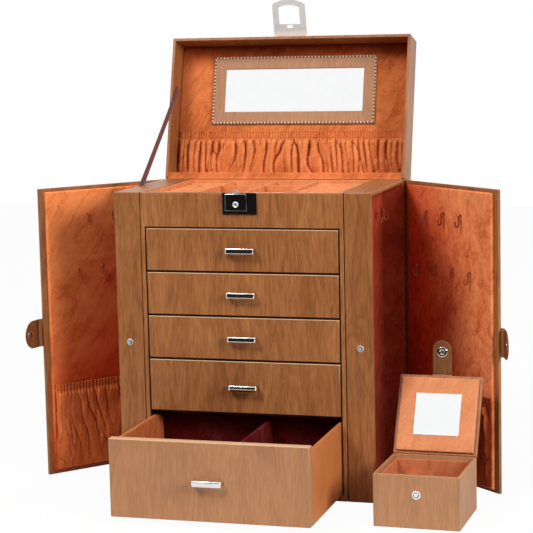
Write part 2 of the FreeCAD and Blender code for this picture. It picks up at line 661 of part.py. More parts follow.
def lock():
    """The lock: plate and block with a bore and a slot, the key's cylinder and the catch."""
    body = body_named("Lock")
    half, foot = "lock_plate_width / 2", "(-lock_plate_height)"
    pad(body, sketch(body, "XZ_Plane", [
        (f"-{half}", foot), (half, foot), (half, "0"), (f"-{half}", "0")]),
        "lock_plate_thickness")
    left = "(lock_offset - lock_block_width / 2)"
    right = "(lock_offset + lock_block_width / 2)"
    low = "(-lock_block_drop - lock_block_height)"
    pad(body, sketch(body, "XZ_Plane", [
        (left, low), (right, low), (right, "-lock_block_drop"), (left, "-lock_block_drop")]),
        "lock_block_reach")
    body_fillet(body, "lock_round", lies_on("y", "-lock_block_reach"))
    bore_depth = "(cylinder_length - cylinder_proud + cylinder_clearance)"
    bore = rod("Lock_bore", "cylinder_radius + cylinder_clearance", "2 * cylinder_length",
               ("lock_offset", f"{FRONT} - lock_block_reach + {bore_depth}", f"{TOP} - key_drop"),
               turned(X_AXIS, 90))
    catch_back = f"({HASP_FACE} - catch_clearance)"
    catch_front = f"({catch_back} - catch_thickness)"
    catch_side = "catch_width / 2"
    slot_side = f"({catch_side} + catch_clearance)"
    catch_foot = f"({BLOCK_TOP} - catch_depth)"
    slot = block("Lock_slot", (f"lock_offset - {slot_side}", f"lock_offset + {slot_side}"),
                 (f"{catch_front} - catch_clearance", f"{catch_back} + catch_clearance"),
                 (f"{catch_foot} - catch_travel - catch_clearance", f"{TOP}"))
    shift(body, y=FRONT, z=TOP)
    keep("lock_plate", cut("Lock_cut", body, bore, slot))

    plug = body_named("Plug")
    pad(plug, sketch(plug, "XZ_Plane", ("0", "0", "cylinder_radius")), "cylinder_length")
    across, tall = "keyway_width / 2", "keyway_height / 2"
    keyway = sketch(plug, "XZ_Plane", [
        (f"-{across}", f"-{tall}"), (across, f"-{tall}"), (across, tall), (f"-{across}", tall)])
    keyway.setExpression("AttachmentOffset.Base.z", bound("cylinder_length"))
    pocket(plug, keyway, "keyway_depth")
    keep("lock_cylinder", plug,
         Placement(at("lock_offset", f"{FRONT} - lock_block_reach + cylinder_length"
                      " - cylinder_proud", f"{TOP} - key_drop"), Rotation()))

    tongue = block("Catch_tongue", (f"lock_offset - {catch_side}", f"lock_offset + {catch_side}"),
                   (catch_front, catch_back), (catch_foot, f"{TOP} + catch_rise"))
    crown = both(lies_on("z", f"{TOP} + catch_rise"), runs_along("y"))
    keep("lock_catch", rounded("Catch", tongue, "catch_round", crown))


def hasp():
    """The bracket on the lid's front wall, and the hasp that swings on the bracket's pin."""
    face = "(-cabinet_depth - hinge_offset)"
    pin_y = f"({HASP_PIN_Y} - {HINGE_Y})"
    plate_face = f"({face} - bracket_thickness)"
    half, half_barrel = "bracket_width / 2", "hasp_barrel_width / 2"
    low = "(hasp_rise - hasp_barrel_radius)"
    plate = block("Bracket_plate", (f"lock_offset - {half}", f"lock_offset + {half}"),
                  (plate_face, face), (low, f"{low} + bracket_height"))
    relief = block("Bracket_relief",
                   (f"lock_offset - {half_barrel} - hasp_knuckle_gap",
                    f"lock_offset + {half_barrel} + hasp_knuckle_gap"),
                   (f"{plate_face} - bracket_thickness", f"{plate_face} + hasp_knuckle_gap"),
                   (f"{low} - bracket_height",
                    "hasp_rise + hasp_barrel_radius + hasp_knuckle_gap"))
    ear = f"({half} - {half_barrel} - hasp_knuckle_gap)"
    starts = (f"lock_offset - {half}", f"lock_offset + {half} - {ear}")
    ears = [rod(f"Bracket_ear_{number}", "hasp_barrel_radius", ear, (start, pin_y, "hasp_rise"),
                ALONG_X) for number, start in enumerate(starts)]
    pin = rod("Bracket_pin", "hasp_pin_radius", "bracket_width",
              (starts[0], pin_y, "hasp_rise"), ALONG_X)
    keep("hasp_bracket", fused("Bracket", cut("Bracket_mount", plate, relief), *ears, pin),
         lid_frame)

    # The hasp is drawn shut: its pin at the origin, its window round the lock's block
    body = body_named("Hasp_leaf")
    side = "hasp_width / 2"
    arch_radius = "((hasp_width ^ 2 / 4 + hasp_arch ^ 2) / (2 * hasp_arch))"
    arch_start = "(hasp_arch - hasp_length)"
    arch_centre = f"({arch_radius} - hasp_length)"
    neck = "(-hasp_barrel_radius - hasp_knuckle_gap)"
    window_side = "(lock_block_width / 2 + hasp_window_gap)"
    window_top = f"({BLOCK_TOP} + hasp_window_gap - {LID_HINGE_Z} - hasp_rise)"
    inner_radius = f"({arch_radius} - hasp_bar)"
    window_foot = f"({arch_centre} - sqrt({inner_radius} ^ 2 - {window_side} ^ 2))"
    slot_side = "hasp_slot_width / 2"
    slot_low, slot_high = "(hasp_slot_bottom - hasp_rise)", "(hasp_slot_top - hasp_rise)"
    leaf = sketch(
        body, "XZ_Plane",
        [(f"-{side}", arch_start, arch_centre), (side, arch_start), (side, neck),
         (f"-{side}", neck)],
        [(f"-{window_side}", window_foot, arch_centre), (window_side, window_foot),
         (window_side, window_top), (f"-{window_side}", window_top)],
        [(f"-{slot_side}", slot_low), (slot_side, slot_low), (slot_side, slot_high),
         (f"-{slot_side}", slot_high)])
    pad(body, leaf, "hasp_thickness")
    leaf_back = f"({HASP_FACE} + hasp_thickness - {HASP_PIN_Y})"
    shift(body, y=leaf_back)
    barrel = rod("Hasp_barrel", "hasp_barrel_radius", "hasp_barrel_width",
                 (f"-{half_barrel}", 0, 0), ALONG_X)
    web = block("Hasp_web", (f"-{half_barrel}", half_barrel),
                (f"{leaf_back} - hasp_thickness", leaf_back), (f"{neck} - hasp_thickness", 0))
    bore = rod("Hasp_bore", "hasp_pin_radius + hasp_pin_clearance", "bracket_width",
               (f"-{half}", 0, 0), ALONG_X)
    swung = Placement(at("lock_offset", pin_y, "hasp_rise"),
                      turned(X_AXIS, -(90 - size.hasp_rest_angle)))
    keep("hasp", cut("Hasp", fused("Hasp_body", body, web, barrel), bore), lid_frame * swung)


def folds():
    """Leather hinges: a bead on each hinge line, and a flap glued to the back panel."""
    flap_depth = (BACK, f"{BACK} + hinge_flap_thickness")
    end = f"({HALF_WIDTH} - hinge_end_gap)"
    bead = rod("Lid_bead", "fold_radius", f"2 * {end}", (f"-{end}", HINGE_Y, LID_HINGE_Z),
               ALONG_X)
    flap = block("Lid_flap", (f"-{end}", end), flap_depth,
                 (f"{TOP} - hinge_flap_width", f"{TOP} - fold_clearance"))
    keep("lid_hinge", fused("Lid_hinge", bead, flap))

    low, high = "2 * hinge_end_gap", f"{TOP} - hinge_flap_width - hinge_end_gap"
    hinges = []
    for name, side in SIDES.items():
        bead = rod(f"Door_bead_{name}", "fold_radius", f"{high} - {low}",
                   (f"{side} * {DOOR_HINGE_X}", HINGE_Y, low))
        span = mirrored(side, f"{HALF_WIDTH} - hinge_flap_width", f"{HALF_WIDTH} - fold_clearance")
        flap = block(f"Door_flap_{name}", span, flap_depth, (low, high))
        hinges.append(fused(f"Door_hinge_{name}", bead, flap))
    keep("door_hinges", group("Door_hinges", *hinges))


def ribbon():
    """The ribbon from the left rim to the lid's left wall, pulled tight by the open lid."""
    foot = at(0, f"{FRONT} + ribbon_foot", TOP)
    head = lid_frame.multVec(at(0, "-ribbon_along_lid", "ribbon_into_lid"))
    line = (head - foot).normalize()
    across = Vector(0, -line.z, line.y) * (size.ribbon_width / 2)
    level = line * (across.z / line.z)
    corners = [foot - across + level, foot + across - level, head + across,
               head + line * size.ribbon_tab, head - across]
    wall = value_of(f"lid_wall - {HALF_WIDTH} + ribbon_gap")
    points = [Vector(wall, corner.y, corner.z) for corner in corners]
    strip = Part.Face(Part.makePolygon(points + points[:1]))
    keep("ribbon_stay", formed("Ribbon", strip.extrude(Vector(size.ribbon_thickness, 0, 0))))


def snap_stud(name):
    """A snap's stud, turned about Y, that stands out of the plane Y = 0 towards -Y."""
    flange = "case_flange_radius" if name.startswith("case") else "snap_flange_radius"
    body = body_named(name)
    profile = sketch(body, "XY_Plane", [
        ("0", "-snap_post_height"), ("snap_post_radius", "-snap_post_height"),
        ("snap_post_radius", "-snap_flange_thickness"), (flange, "-snap_flange_thickness"),
        (flange, "0"), ("0", "0")])
    turning = body.newObject("PartDesign::Revolution", f"{name}_turning")
    turning.Profile = profile
    turning.ReferenceAxis = (profile, ["V_Axis"])
    doc.recompute()
    body_fillet(body, "snap_round", lambda edge: edge.BoundBox.YMin < -size.snap_flange_thickness
                + 1e-4 and edge.Curve.TypeId == "Part::GeomCircle")
    return body


def strap(name, width, length, snap, ring_radius):
    """A snap tab in the plane Z = 0 that leaves its fold line at the origin along -Y.

    Its snap ring is on the side that faces -Z."""
    tab = body_named(f"{name}_tab")
    half, start = f"({width} / 2)", "(-strap_thickness / 2 - strap_gap)"
    end = f"({half} - {length})"
    pad(tab, sketch(tab, "XY_Plane", [
        (f"-{half}", end, end), (half, end), (half, start), (f"-{half}", start)],
        ("0", f"-{snap}", "snap_hole_radius")), "strap_thickness", midplane=True)
    ring = body_named(f"{name}_ring")
    pad(ring, sketch(ring, "XY_Plane", ("0", f"-{snap}", ring_radius),
                     ("0", f"-{snap}", "snap_hole_radius")), "snap_ring_thickness", reverse=True)
    shift(ring, z="-strap_thickness / 2")
    return group(name, tab, ring)


def door(name, side):
    """One side door, drawn shut in its hinge frame."""
    frame = door_frames[name]
    outer = "(seat_gap + door_thickness)"
    free_edge, hinge_edge = "(-door_length)", "(-fold_radius - fold_clearance)"
    low, high = "door_bottom_gap", f"({TOP} - door_top_gap)"
    board = block(f"Door_{name}_board", mirrored(side, "seat_gap", outer),
                  (free_edge, hinge_edge), (low, high))
    anchor = block(f"Door_{name}_anchor_flat",
                   mirrored(side, outer, f"{outer} + strap_thickness"),
                   (f"{free_edge} - {DOOR_FOLD}", f"{free_edge} + strap_anchor"),
                   ("snap_height - door_strap_width / 2", "snap_height + door_strap_width / 2"))
    bend = rod(f"Door_{name}_anchor_bend", "strap_thickness / 2", "door_strap_width",
               (f"{side} * ({outer} + strap_thickness / 2)", f"{free_edge} - {DOOR_FOLD}",
                "snap_height - door_strap_width / 2"))
    keep(f"{name}_door_board",
         group(f"Door_{name}", rounded(f"Door_{name}_wrapped", board, "edge_round"),
               fused(f"Door_{name}_anchor", anchor, bend)), frame)

    pad_face = "(seat_gap - door_pad_thickness)"
    pad_depth = (f"{free_edge} + door_side_margin", f"{hinge_edge} - door_side_margin")
    pad_foot = f"({low} + door_end_margin)"
    cushion = block(f"Pad_{name}_block", mirrored(side, pad_face, "seat_gap"), pad_depth,
                    (pad_foot, f"{high} - door_end_margin"))
    keep(f"{name}_door_pad", rounded(f"Pad_{name}", cushion, "pad_round",
                                     lies_on("x", f"{side} * {pad_face}")), frame)

    face = side * value_of(pad_face)
    row_height = value_of(f"{TOP} - hook_drop")
    rows = ((row_height, size.hook_first, 3),
            (row_height - size.hook_row_step, size.hook_first - size.hook_pitch / 2, 4))
    places = [Vector(face, -first - number * size.hook_pitch, level)
              for level, first, count in rows for number in range(count)]
    keep(f"{name}_door_hooks", hook_rows(f"Hooks_{name}", Vector(-side, 0, 0), places), frame)

    width = value_of(f"{pad_depth[1]} - ({pad_depth[0]}) - 2 * pad_round")
    cloth = gathered_pocket(width, size.door_pocket_folds, size.door_pocket_height,
                            size.door_pocket_clear, size.door_pocket_swing)
    middle = value_of(f"({pad_depth[0]} + {pad_depth[1]}) / 2")
    seat = Placement(Vector(face, middle, value_of(f"{pad_foot} + pad_round")),
                     turned(Z_AXIS, -90 * side))
    keep(f"{name}_door_pocket", formed(f"Pocket_{name}", cloth), frame * seat)

    tab = strap(f"Strap_{name}", "door_strap_width", "door_strap_length", DOOR_SNAP,
                "snap_ring_radius")
    fold = Placement(at(f"{side} * ({outer} + strap_thickness / 2)",
                        f"{free_edge} - {DOOR_FOLD}", "snap_height"),
                     turned(Z_AXIS, -side * size.door_strap_fold) * turned(Y_AXIS, 90 * side))
    keep(f"{name}_door_strap", tab, frame * fold)


def door_snaps():
    studs = []
    for name, side in SIDES.items():
        stud = snap_stud(f"Stud_{name}")
        shift(stud, f"{side} * ({HALF_WIDTH} - snap_inset)", FRONT, "snap_height")
        studs.append(stud)
    keep("snap_studs", group("Studs", *studs))


def travel_case():
    """The small case, drawn in its own frame from its left front corner."""
    width, wall = "case_width", "case_wall"
    outer = block("Case_outer", (0, width), (0, "case_depth"), (0, "case_height"))
    outer = rounded("Case_wrapped", outer, "edge_round")
    hollow = block("Case_hollow", (wall, f"{width} - {wall}"), (wall, f"case_depth - {wall}"),
                   (wall, f"case_height + {wall}"))
    hinge = ("case_depth + hinge_offset", "case_height + hinge_offset")
    clearance = "case_fold_radius + fold_clearance"
    slot = rod("Case_slot", clearance, width, (0, *hinge), ALONG_X)
    keep("case_shell", cut("Case_shell", outer, hollow, slot), case_frame)

    edge = f"({wall} + case_liner_gap)"
    inside = f"({edge} + case_liner_wall)"
    rim = "(case_height - case_liner_drop)"
    liner = block("Liner_outer", (edge, f"{width} - {edge}"), (edge, f"case_depth - {edge}"),
                  (wall, rim))
    space = block("Liner_space", (inside, f"{width} - {inside}"),
                  (inside, f"case_depth - {inside}"),
                  (f"{wall} + lining_thickness", "case_height"))
    keep("case_liner", cut("Liner", liner, space), case_frame)
    middle = f"{width} / 2"
    keep("case_snap_stud", snap_stud("case_stud"),
         case_frame * Placement(at(middle, 0, "case_snap_height"), Rotation()))

    ends = (wall, f"{width} - {wall}")
    bead = rod("Case_bead", "case_fold_radius", f"{ends[1]} - {ends[0]}", (ends[0], *hinge),
               ALONG_X)
    flap = block("Case_flap", ends, ("case_depth", "case_depth + hinge_flap_thickness"),
                 ("case_height - hinge_flap_width", "case_height - fold_clearance"))
    keep("case_hinge", fused("Case_hinge", bead, flap), case_frame)

    under = "(seat_gap - hinge_offset)"
    over = f"({under} + case_lid_thickness)"
    free_edge, hinge_edge = "(-case_depth - hinge_offset)", "(-hinge_offset)"
    board = rounded("Case_board_wrapped",
                    block("Case_board", (0, width), (free_edge, hinge_edge), (under, over)),
                    "edge_round")
    slot = rod("Case_lid_slot", clearance, width, (0, 0, 0), ALONG_X)
    half = "case_strap_width / 2"
    anchor = block("Case_anchor_flat", (f"{middle} - {half}", f"{middle} + {half}"),
                   (f"{free_edge} - {CASE_FOLD}", f"{free_edge} + strap_anchor"),
                   (over, f"{over} + strap_thickness"))
    bend = rod("Case_anchor_bend", "strap_thickness / 2", "case_strap_width",
               (f"{middle} - {half}", f"{free_edge} - {CASE_FOLD}",
                f"{over} + strap_thickness / 2"), ALONG_X)
    keep("case_lid", group("Case_lid", cut("Case_lid_cut", board, slot),
                           fused("Case_anchor", anchor, bend)), case_lid_frame)

    margin = "case_pad_margin"
    pad_face = f"({under} - case_pad_thickness)"
    cushion = block("Case_pad_block", (margin, f"{width} - {margin}"),
                    (f"{free_edge} + {margin}", f"{hinge_edge} - {margin}"), (pad_face, under))
    keep("case_lid_pad", rounded("Case_pad", cushion, "pad_round", lies_on("z", pad_face)),
         case_lid_frame)
    half_width, half_height = "case_mirror_width / 2", "case_mirror_height / 2"
    glass = block("Case_glass", (f"{middle} - {half_width}", f"{middle} + {half_width}"),
                  (f"-case_depth / 2 - {half_height}", f"-case_depth / 2 + {half_height}"),
                  (f"{pad_face} - case_mirror_thickness", pad_face))
    keep("case_mirror", rounded("Case_mirror", glass, "mirror_corner", runs_along("z")),
         case_lid_frame)

    tab = strap("Case_strap", "case_strap_width", "case_strap_length", CASE_SNAP,
                "case_ring_radius")
    fold = Placement(at(middle, f"{free_edge} - {CASE_FOLD}", f"{over} + strap_thickness / 2"),
                     turned(X_AXIS, size.case_strap_fold))
    keep("case_strap", tab, case_lid_frame * fold)


carcass()
side_compartments()
tray()
for number, (level, pitch) in enumerate(zip(DRAWER_LEVELS, DRAWER_PITCHES), 1):
    drawer(number, level, pitch)
lid()
lock()
hasp()
folds()
ribbon()
for name, side in SIDES.items():
    door(name, side)
door_snaps()
travel_case()
doc.recompute()

for item in doc.Objects:
    if {"Invalid", "Error"} & set(item.State):
        raise RuntimeError(f"{item.Label} failed: {item.State}")
for label, piece in parts.items():
    if piece.Shape.isNull() or not piece.Shape.isValid() or not piece.Shape.Solids:
        raise RuntimeError(f"{label} has no valid solid")

os.makedirs("parts", exist_ok=True)
for label, piece in parts.items():
    piece.Shape.exportStep(f"parts/{label}.step")
print(len(parts), "parts written")
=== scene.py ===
import bmesh
import bpy
import json
import math
from mathutils import Matrix, Vector, noise


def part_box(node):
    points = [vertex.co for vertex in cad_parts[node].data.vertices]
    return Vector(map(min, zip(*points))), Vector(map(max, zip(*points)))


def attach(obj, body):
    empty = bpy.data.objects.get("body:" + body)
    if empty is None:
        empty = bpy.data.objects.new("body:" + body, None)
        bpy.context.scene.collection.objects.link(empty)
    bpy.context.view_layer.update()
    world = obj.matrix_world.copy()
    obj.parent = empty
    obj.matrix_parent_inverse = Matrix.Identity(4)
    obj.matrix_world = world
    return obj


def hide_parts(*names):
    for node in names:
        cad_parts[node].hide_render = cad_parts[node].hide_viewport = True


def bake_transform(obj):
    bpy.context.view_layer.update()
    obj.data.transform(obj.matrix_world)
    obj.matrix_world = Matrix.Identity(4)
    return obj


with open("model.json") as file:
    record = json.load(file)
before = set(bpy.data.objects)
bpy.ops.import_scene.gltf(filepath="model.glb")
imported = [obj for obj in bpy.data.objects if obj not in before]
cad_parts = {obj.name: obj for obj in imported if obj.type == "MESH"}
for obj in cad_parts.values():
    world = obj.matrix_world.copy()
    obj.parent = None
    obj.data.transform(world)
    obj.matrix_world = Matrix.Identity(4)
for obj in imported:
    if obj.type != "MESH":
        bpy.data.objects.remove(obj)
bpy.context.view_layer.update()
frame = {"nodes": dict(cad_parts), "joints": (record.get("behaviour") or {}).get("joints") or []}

nodes = frame["nodes"]
scene = bpy.context.scene

CABINET_DEPTH, HALF_WIDTH = 0.170, 0.145
BACK, TOP = CABINET_DEPTH / 2, 0.336
HINGE_GAP = 0.0002
CLEARANCE = 0.0003
CLOTH_THICK = 0.0006
SIDES = {"left": -1, "right": 1}
LID_TURN, CASE_TURN, CASE_LID_TURN = -105, -1.3, -116.5
DOOR_TURNS = {"left": -39.4, "right": 48.0}


def joint_point(name):
    return Vector(next(j["pos_m"] for j in frame["joints"] if j["name"] == name))


def turned(degrees, axis):
    return Matrix.Rotation(math.radians(degrees), 4, axis)


def moved(*place):
    return Matrix.Translation(Vector(place))


def direction(part, *way):
    return part.to_3x3() @ Vector(way)


# The frames of the moving parts, in each of which its part lies as it does when shut
LID = moved(*joint_point("lid_hinge")) @ turned(LID_TURN, "X")
DOORS = {name: moved(*joint_point(f"{name}_door_hinge")) @ turned(degrees, "Z")
         for name, degrees in DOOR_TURNS.items()}
CASE = moved(0.1627, -0.1713, 0) @ turned(CASE_TURN, "Z")
CASE_LID = CASE @ moved(0, 0.0882, 0.0562) @ turned(CASE_LID_TURN, "X")


class Reading:
    """One output of a finish's nodes, which adds Math nodes as it is reckoned with."""

    def __init__(self, finish, socket):
        self.finish, self.socket = finish, socket

    def __add__(self, other): return self.finish.math("ADD", self, other)
    def __radd__(self, other): return self.finish.math("ADD", other, self)
    def __sub__(self, other): return self.finish.math("SUBTRACT", self, other)
    def __mul__(self, other): return self.finish.math("MULTIPLY", self, other)
    def __gt__(self, other): return self.finish.math("GREATER_THAN", self, other)


class Finish:
    """A material, or the world round the object, and the ways in which its nodes are made."""

    def __init__(self, name, owner=None):
        self.owner = owner or bpy.data.materials.new(name)
        self.owner.use_nodes = True
        self.tree = self.owner.node_tree
        self.tree.nodes.clear()

    def node(self, kind, settings=None, inputs=None, output=0):
        made = self.tree.nodes.new(kind)
        for key, value in (settings or {}).items():
            if key == "stops":
                ramp = made.color_ramp
                while len(ramp.elements) < len(value):
                    ramp.elements.new(0.5)
                for element, (position, colour) in zip(ramp.elements, value):
                    element.position, element.color = position, (*colour, 1)
            else:
                setattr(made, key, value)
        for key, value in (inputs or {}).items():
            socket = made.inputs[key]
            if isinstance(value, Reading):
                self.tree.links.new(value.socket, socket)
            else:
                socket.default_value = value
        return Reading(self, made.outputs[output]) if len(made.outputs) else made

    def math(self, operation, *values):
        return self.node("ShaderNodeMath", {"operation": operation},
                         dict(enumerate(values)))

    def vector(self, operation, *values, output=0):
        return self.node("ShaderNodeVectorMath", {"operation": operation},
                         dict(enumerate(values)), output)

    def dot(self, first, second):
        return self.vector("DOT_PRODUCT", first, second, output="Value")

    def shifted(self, place, way, length):
        """A place moved along a direction, as far as a reading says."""
        step = self.node("ShaderNodeVectorMath", {"operation": "SCALE"},
                         {0: way, "Scale": length})
        return self.vector("ADD", place, step)

    def place(self):
        return self.node("ShaderNodeTexCoord", output="Object")

    def noise(self, at, scale, detail=2.0, rough=0.5, bend=0.0):
        return self.node("ShaderNodeTexNoise", None,
                         {"Vector": at, "Scale": scale, "Detail": detail,
                          "Roughness": rough, "Distortion": bend})

    def ramp(self, factor, *stops):
        return self.node("ShaderNodeValToRGB", {"stops": stops}, {"Fac": factor})

    def blend(self, factor, first, second, way="MIX"):
        return self.node("ShaderNodeMix", {"data_type": "RGBA", "blend_type": way},
                         {"Factor": factor, 6: first, 7: second}, 2)

    def bump(self, height, depth, strength):
        return self.node("ShaderNodeBump", None,
                         {"Strength": strength, "Distance": depth, "Height": height})

    def done(self, **sockets):
        inputs = {name.replace("_", " "): value for name, value in sockets.items()}
        shader = self.node("ShaderNodeBsdfPrincipled", None, inputs, "BSDF")
        self.node("ShaderNodeOutputMaterial", None, {"Surface": shader})
        return self.owner


def colour(red, green, blue):
    return (red, green, blue, 1.0)


def grain_leather(name, along=(0, 0, 1), across=(0, 1, 0), shift=0.0, light=1.0, pale=0.0,
                  painted_top_highlight=False):
    """Tan leather pressed with a fine wood grain that runs along one direction."""
    f = Finish(name)
    facing = f.node("ShaderNodeTexCoord", output="Normal")
    place = f.vector("ADD", f.place(), (shift, shift * 1.7, shift * 0.6))
    end_on = f.math("ABSOLUTE", f.dot(facing, along)) > 0.7

    def stretched(way, share):
        return f.shifted(place, way, f.dot(place, way) * (share - 1))

    def grain(share):
        return f.blend(end_on, stretched(along, share), stretched(across, share))

    pores = f.noise(grain(0.045), 1350, 3, 0.7)
    streaks = f.noise(grain(0.035), 1000, 4, 0.7, 0.15)
    figure = f.noise(grain(0.14), 46, 3, 0.5, 1.2)
    rings = f.math("SINE", figure * 40) * 0.5 + 0.5
    patches = f.noise(place, 9, 2)
    tone = streaks * 0.46 + figure * 0.24 + rings * 0.08 + patches * 0.22
    tans = ((0.36, (0.205, 0.066, 0.016)), (0.46, (0.305, 0.109, 0.032)),
            (0.55, (0.365, 0.138, 0.043)), (0.66, (0.46, 0.188, 0.064)))
    base = f.ramp(tone, *((stop, tuple(c * light for c in tan)) for stop, tan in tans))
    dark = f.ramp(pores, (0.36, (0.42, 0.34, 0.28)), (0.5, (1, 1, 1)))
    shade = f.blend(0.58, base, dark, "MULTIPLY")
    if pale:
        shade = f.blend(pale, shade, f.blend(tone, colour(0.40, 0.20, 0.095),
                                             colour(0.62, 0.36, 0.20)))
    # Painted highlight: faces that look upward are tinted paler, as light from above would make
    # their edges.
    if painted_top_highlight:
        upward = f.dot(facing, (0, -0.2, 1)) > 0.25
        shade = f.blend(upward * 0.75, shade, colour(0.72, 0.46, 0.27))
    rough = 0.36 + streaks * 0.16 - patches * 0.04
    normal = f.bump(pores + streaks * 0.7, 0.00018, 0.45)
    return f.done(Base_Color=shade, Roughness=rough, Normal=normal,
                  Specular_IOR_Level=0.32, Coat_Weight=0.07, Coat_Roughness=0.22)


def velvet(name, tint, deep, sheen=0.3, contrast=1.0, fold=None, reach=9,
           shade_tint=(0.5, 0.24, 0.2)):
    """Short-pile terracotta velvet whose nap lies in patches and brushed streaks.

    fold is a point and the way out of a line towards which the velvet is painted darker as shade,
    by the last tint given; reach says how soon that painted shade fades."""
    f = Finish(name)
    place = f.place()
    drift = f.noise(place, 9, 3, 0.6, 1.5)
    brush_way = (0.45, 0.45, 0.77)
    brushed = f.shifted(place, brush_way, f.dot(place, brush_way) * -0.8)
    strokes = f.noise(brushed, 70, 4, 0.7, 1.2)
    mottle = f.noise(place, 210, 4, 0.75, 0.6)
    pile = f.noise(place, 1700, 2, 0.8)
    nap = drift * 0.26 + strokes * 0.38 + mottle * 0.22 + pile * 0.14
    base = f.ramp((nap - 0.5) * contrast + 0.5, (0.32, deep), (0.5, tint),
                  (0.66, tuple(min(1, c * 1.25 + 0.02) for c in tint)))
    # Painted shade: the velvet darkens towards the fold line, as shade falls there.
    if fold:
        point, way = fold
        shade_fade = f.dot(f.vector("SUBTRACT", place, tuple(point)), tuple(way)) * reach
        shade_fade = shade_fade + drift * 0.5 - 0.25
        half = tuple(share ** 0.33 for share in shade_tint)
        painted_shade_tint = f.ramp(shade_fade, (0.0, shade_tint), (0.45, half), (0.95, (1, 1, 1)))
        base = f.blend(1.0, base, painted_shade_tint, "MULTIPLY")
    height = pile * 0.5 + mottle * 1.6 + strokes * 1.1
    return f.done(Base_Color=base, Roughness=0.82 + pile * 0.15,
                  Normal=f.bump(height, 0.0006, 0.5), Sheen_Weight=sheen,
                  Sheen_Roughness=0.45, Sheen_Tint=colour(1.0, 0.62, 0.40),
                  Specular_IOR_Level=0.1)


def smooth_cover(name, tint, rough=0.42):
    """Smooth paper-backed cover with a faint satin mottle."""
    f = Finish(name)
    place = f.place()
    cloud = f.noise(place, 22, 3)
    speck = f.noise(place, 900, 2, 0.7)
    low = tuple(c * 0.86 for c in tint)
    high = tuple(min(1, c * 1.12) for c in tint)
    base = f.ramp(cloud * 0.7 + speck * 0.3, (0.36, low), (0.62, high))
    return f.done(Base_Color=base, Roughness=rough + cloud * 0.12,
                  Normal=f.bump(speck, 0.00012, 0.4), Specular_IOR_Level=0.45)


def plated(name, tint, rough, metallic=1.0):
    """Polished plating with faint rubbing marks and a slight cloudiness."""
    f = Finish(name)
    place = f.place()
    rubs = f.noise(f.vector("MULTIPLY", place, (1, 1, 6)), 700, 3, 0.6)
    cloud = f.noise(place, 120, 2)
    base = f.ramp(cloud, (0.3, tuple(c * 0.93 for c in tint)), (0.7, tint))
    return f.done(Base_Color=base, Metallic=metallic, Roughness=rough + rubs * 0.05,
                  Normal=f.bump(rubs, 0.00003, 0.3))


def ringed_plating(name, middle, axis, groove, width):
    """Polished plating of a snap stud, with a dark ring of painted shade round its middle, where a
    pressed groove runs.
    """
    f = Finish(name)
    place = f.place()
    away = f.vector("SUBTRACT", place, tuple(middle))
    across = f.vector("CROSS_PRODUCT", away, tuple(axis))
    reach = f.vector("LENGTH", across, output="Value")
    ring = f.math("ABSOLUTE", reach - groove) * (1 / width)
    # Painted shade: the plating is near black along the groove's ring.
    base = f.ramp(ring, (0.45, (0.07, 0.06, 0.055)), (0.9, (0.93, 0.92, 0.91)))
    rubs = f.noise(place, 900, 2)
    return f.done(Base_Color=base, Metallic=0.6, Roughness=0.2 + rubs * 0.08)


def speckled(name, scale, dark, light, rough, wander=0.0, strength=0.0, stops=(0.3, 0.7),
             **sockets):
    """A plain stuff whose tint wavers from spot to spot between two shades."""
    f = Finish(name)
    speck = f.noise(f.place(), scale, 2)
    if strength:
        sockets["Normal"] = f.bump(speck, 0.0001, strength)
    return f.done(Base_Color=f.ramp(speck, (stops[0], dark), (stops[1], light)),
                  Roughness=speck * wander + rough if wander else rough, **sockets)


def woven_ribbon():
    f = Finish("woven_ribbon")
    place = f.place()
    weave = f.math("SINE", f.dot(place, (0, 0.795, 0.606)) * 5200) * 0.5 + 0.5
    cloud = f.noise(place, 90, 2)
    base = f.ramp(weave * 0.55 + cloud * 0.45, (0.25, (0.06, 0.014, 0.012)),
                  (0.75, (0.19, 0.055, 0.042)))
    return f.done(Base_Color=base, Roughness=0.5 + weave * 0.2, Sheen_Weight=0.3,
                  Sheen_Roughness=0.4, Normal=f.bump(weave, 0.0001, 0.5))


LID_GRAIN = tuple(direction(LID, 0, 1, 0)), tuple(direction(LID, 0, 0, 1))
CASE_LID_GRAIN = tuple(direction(CASE_LID, 0, 1, 0)), tuple(direction(CASE_LID, 0, 0, 1))

cabinet_leather = grain_leather("cabinet_leather", light=1.05)
stile_leather = grain_leather("stile_leather", shift=0.31, light=0.95)
lid_leather = grain_leather("lid_leather", *LID_GRAIN, 0.57)
door_leather = grain_leather("door_leather", shift=0.83)
case_leather = grain_leather("case_leather", shift=1.13, light=1.05, pale=0.52)
case_lid_leather = grain_leather("case_lid_leather", *CASE_LID_GRAIN, 1.37)
mirror_leather = grain_leather("mirror_leather", *LID_GRAIN, 1.71, pale=0.4)
strap_leather = grain_leather("strap_leather", shift=0.44, light=0.62)
# Painted shade: the door hinges' leather is a darker copy, for the shade by the hinges.
hinge_leather = grain_leather("hinge_leather", shift=0.9, light=0.8)
FRONT_LIGHTS = (1.03, 1.03, 1.03, 1.0, 1.08)
front_leathers = [grain_leather(f"drawer_{number}_leather", shift=2.0 + 0.37 * number, light=light,
                                pale=0.45 if number == 5 else 0.0, painted_top_highlight=True)
                  for number, light in enumerate(FRONT_LIGHTS, 1)]

# Painted shade: the lid's velvet darkens towards the lid's free edge, under its top wall as it
# stands open.
orange_velvet = velvet("orange_velvet", (0.60, 0.162, 0.045), (0.40, 0.075, 0.017), 0.3, 1.6,
                       (LID @ Vector((0, -0.166, 0.036)), direction(LID, 0, 1, 0)),
                       28, (0.45, 0.22, 0.14))
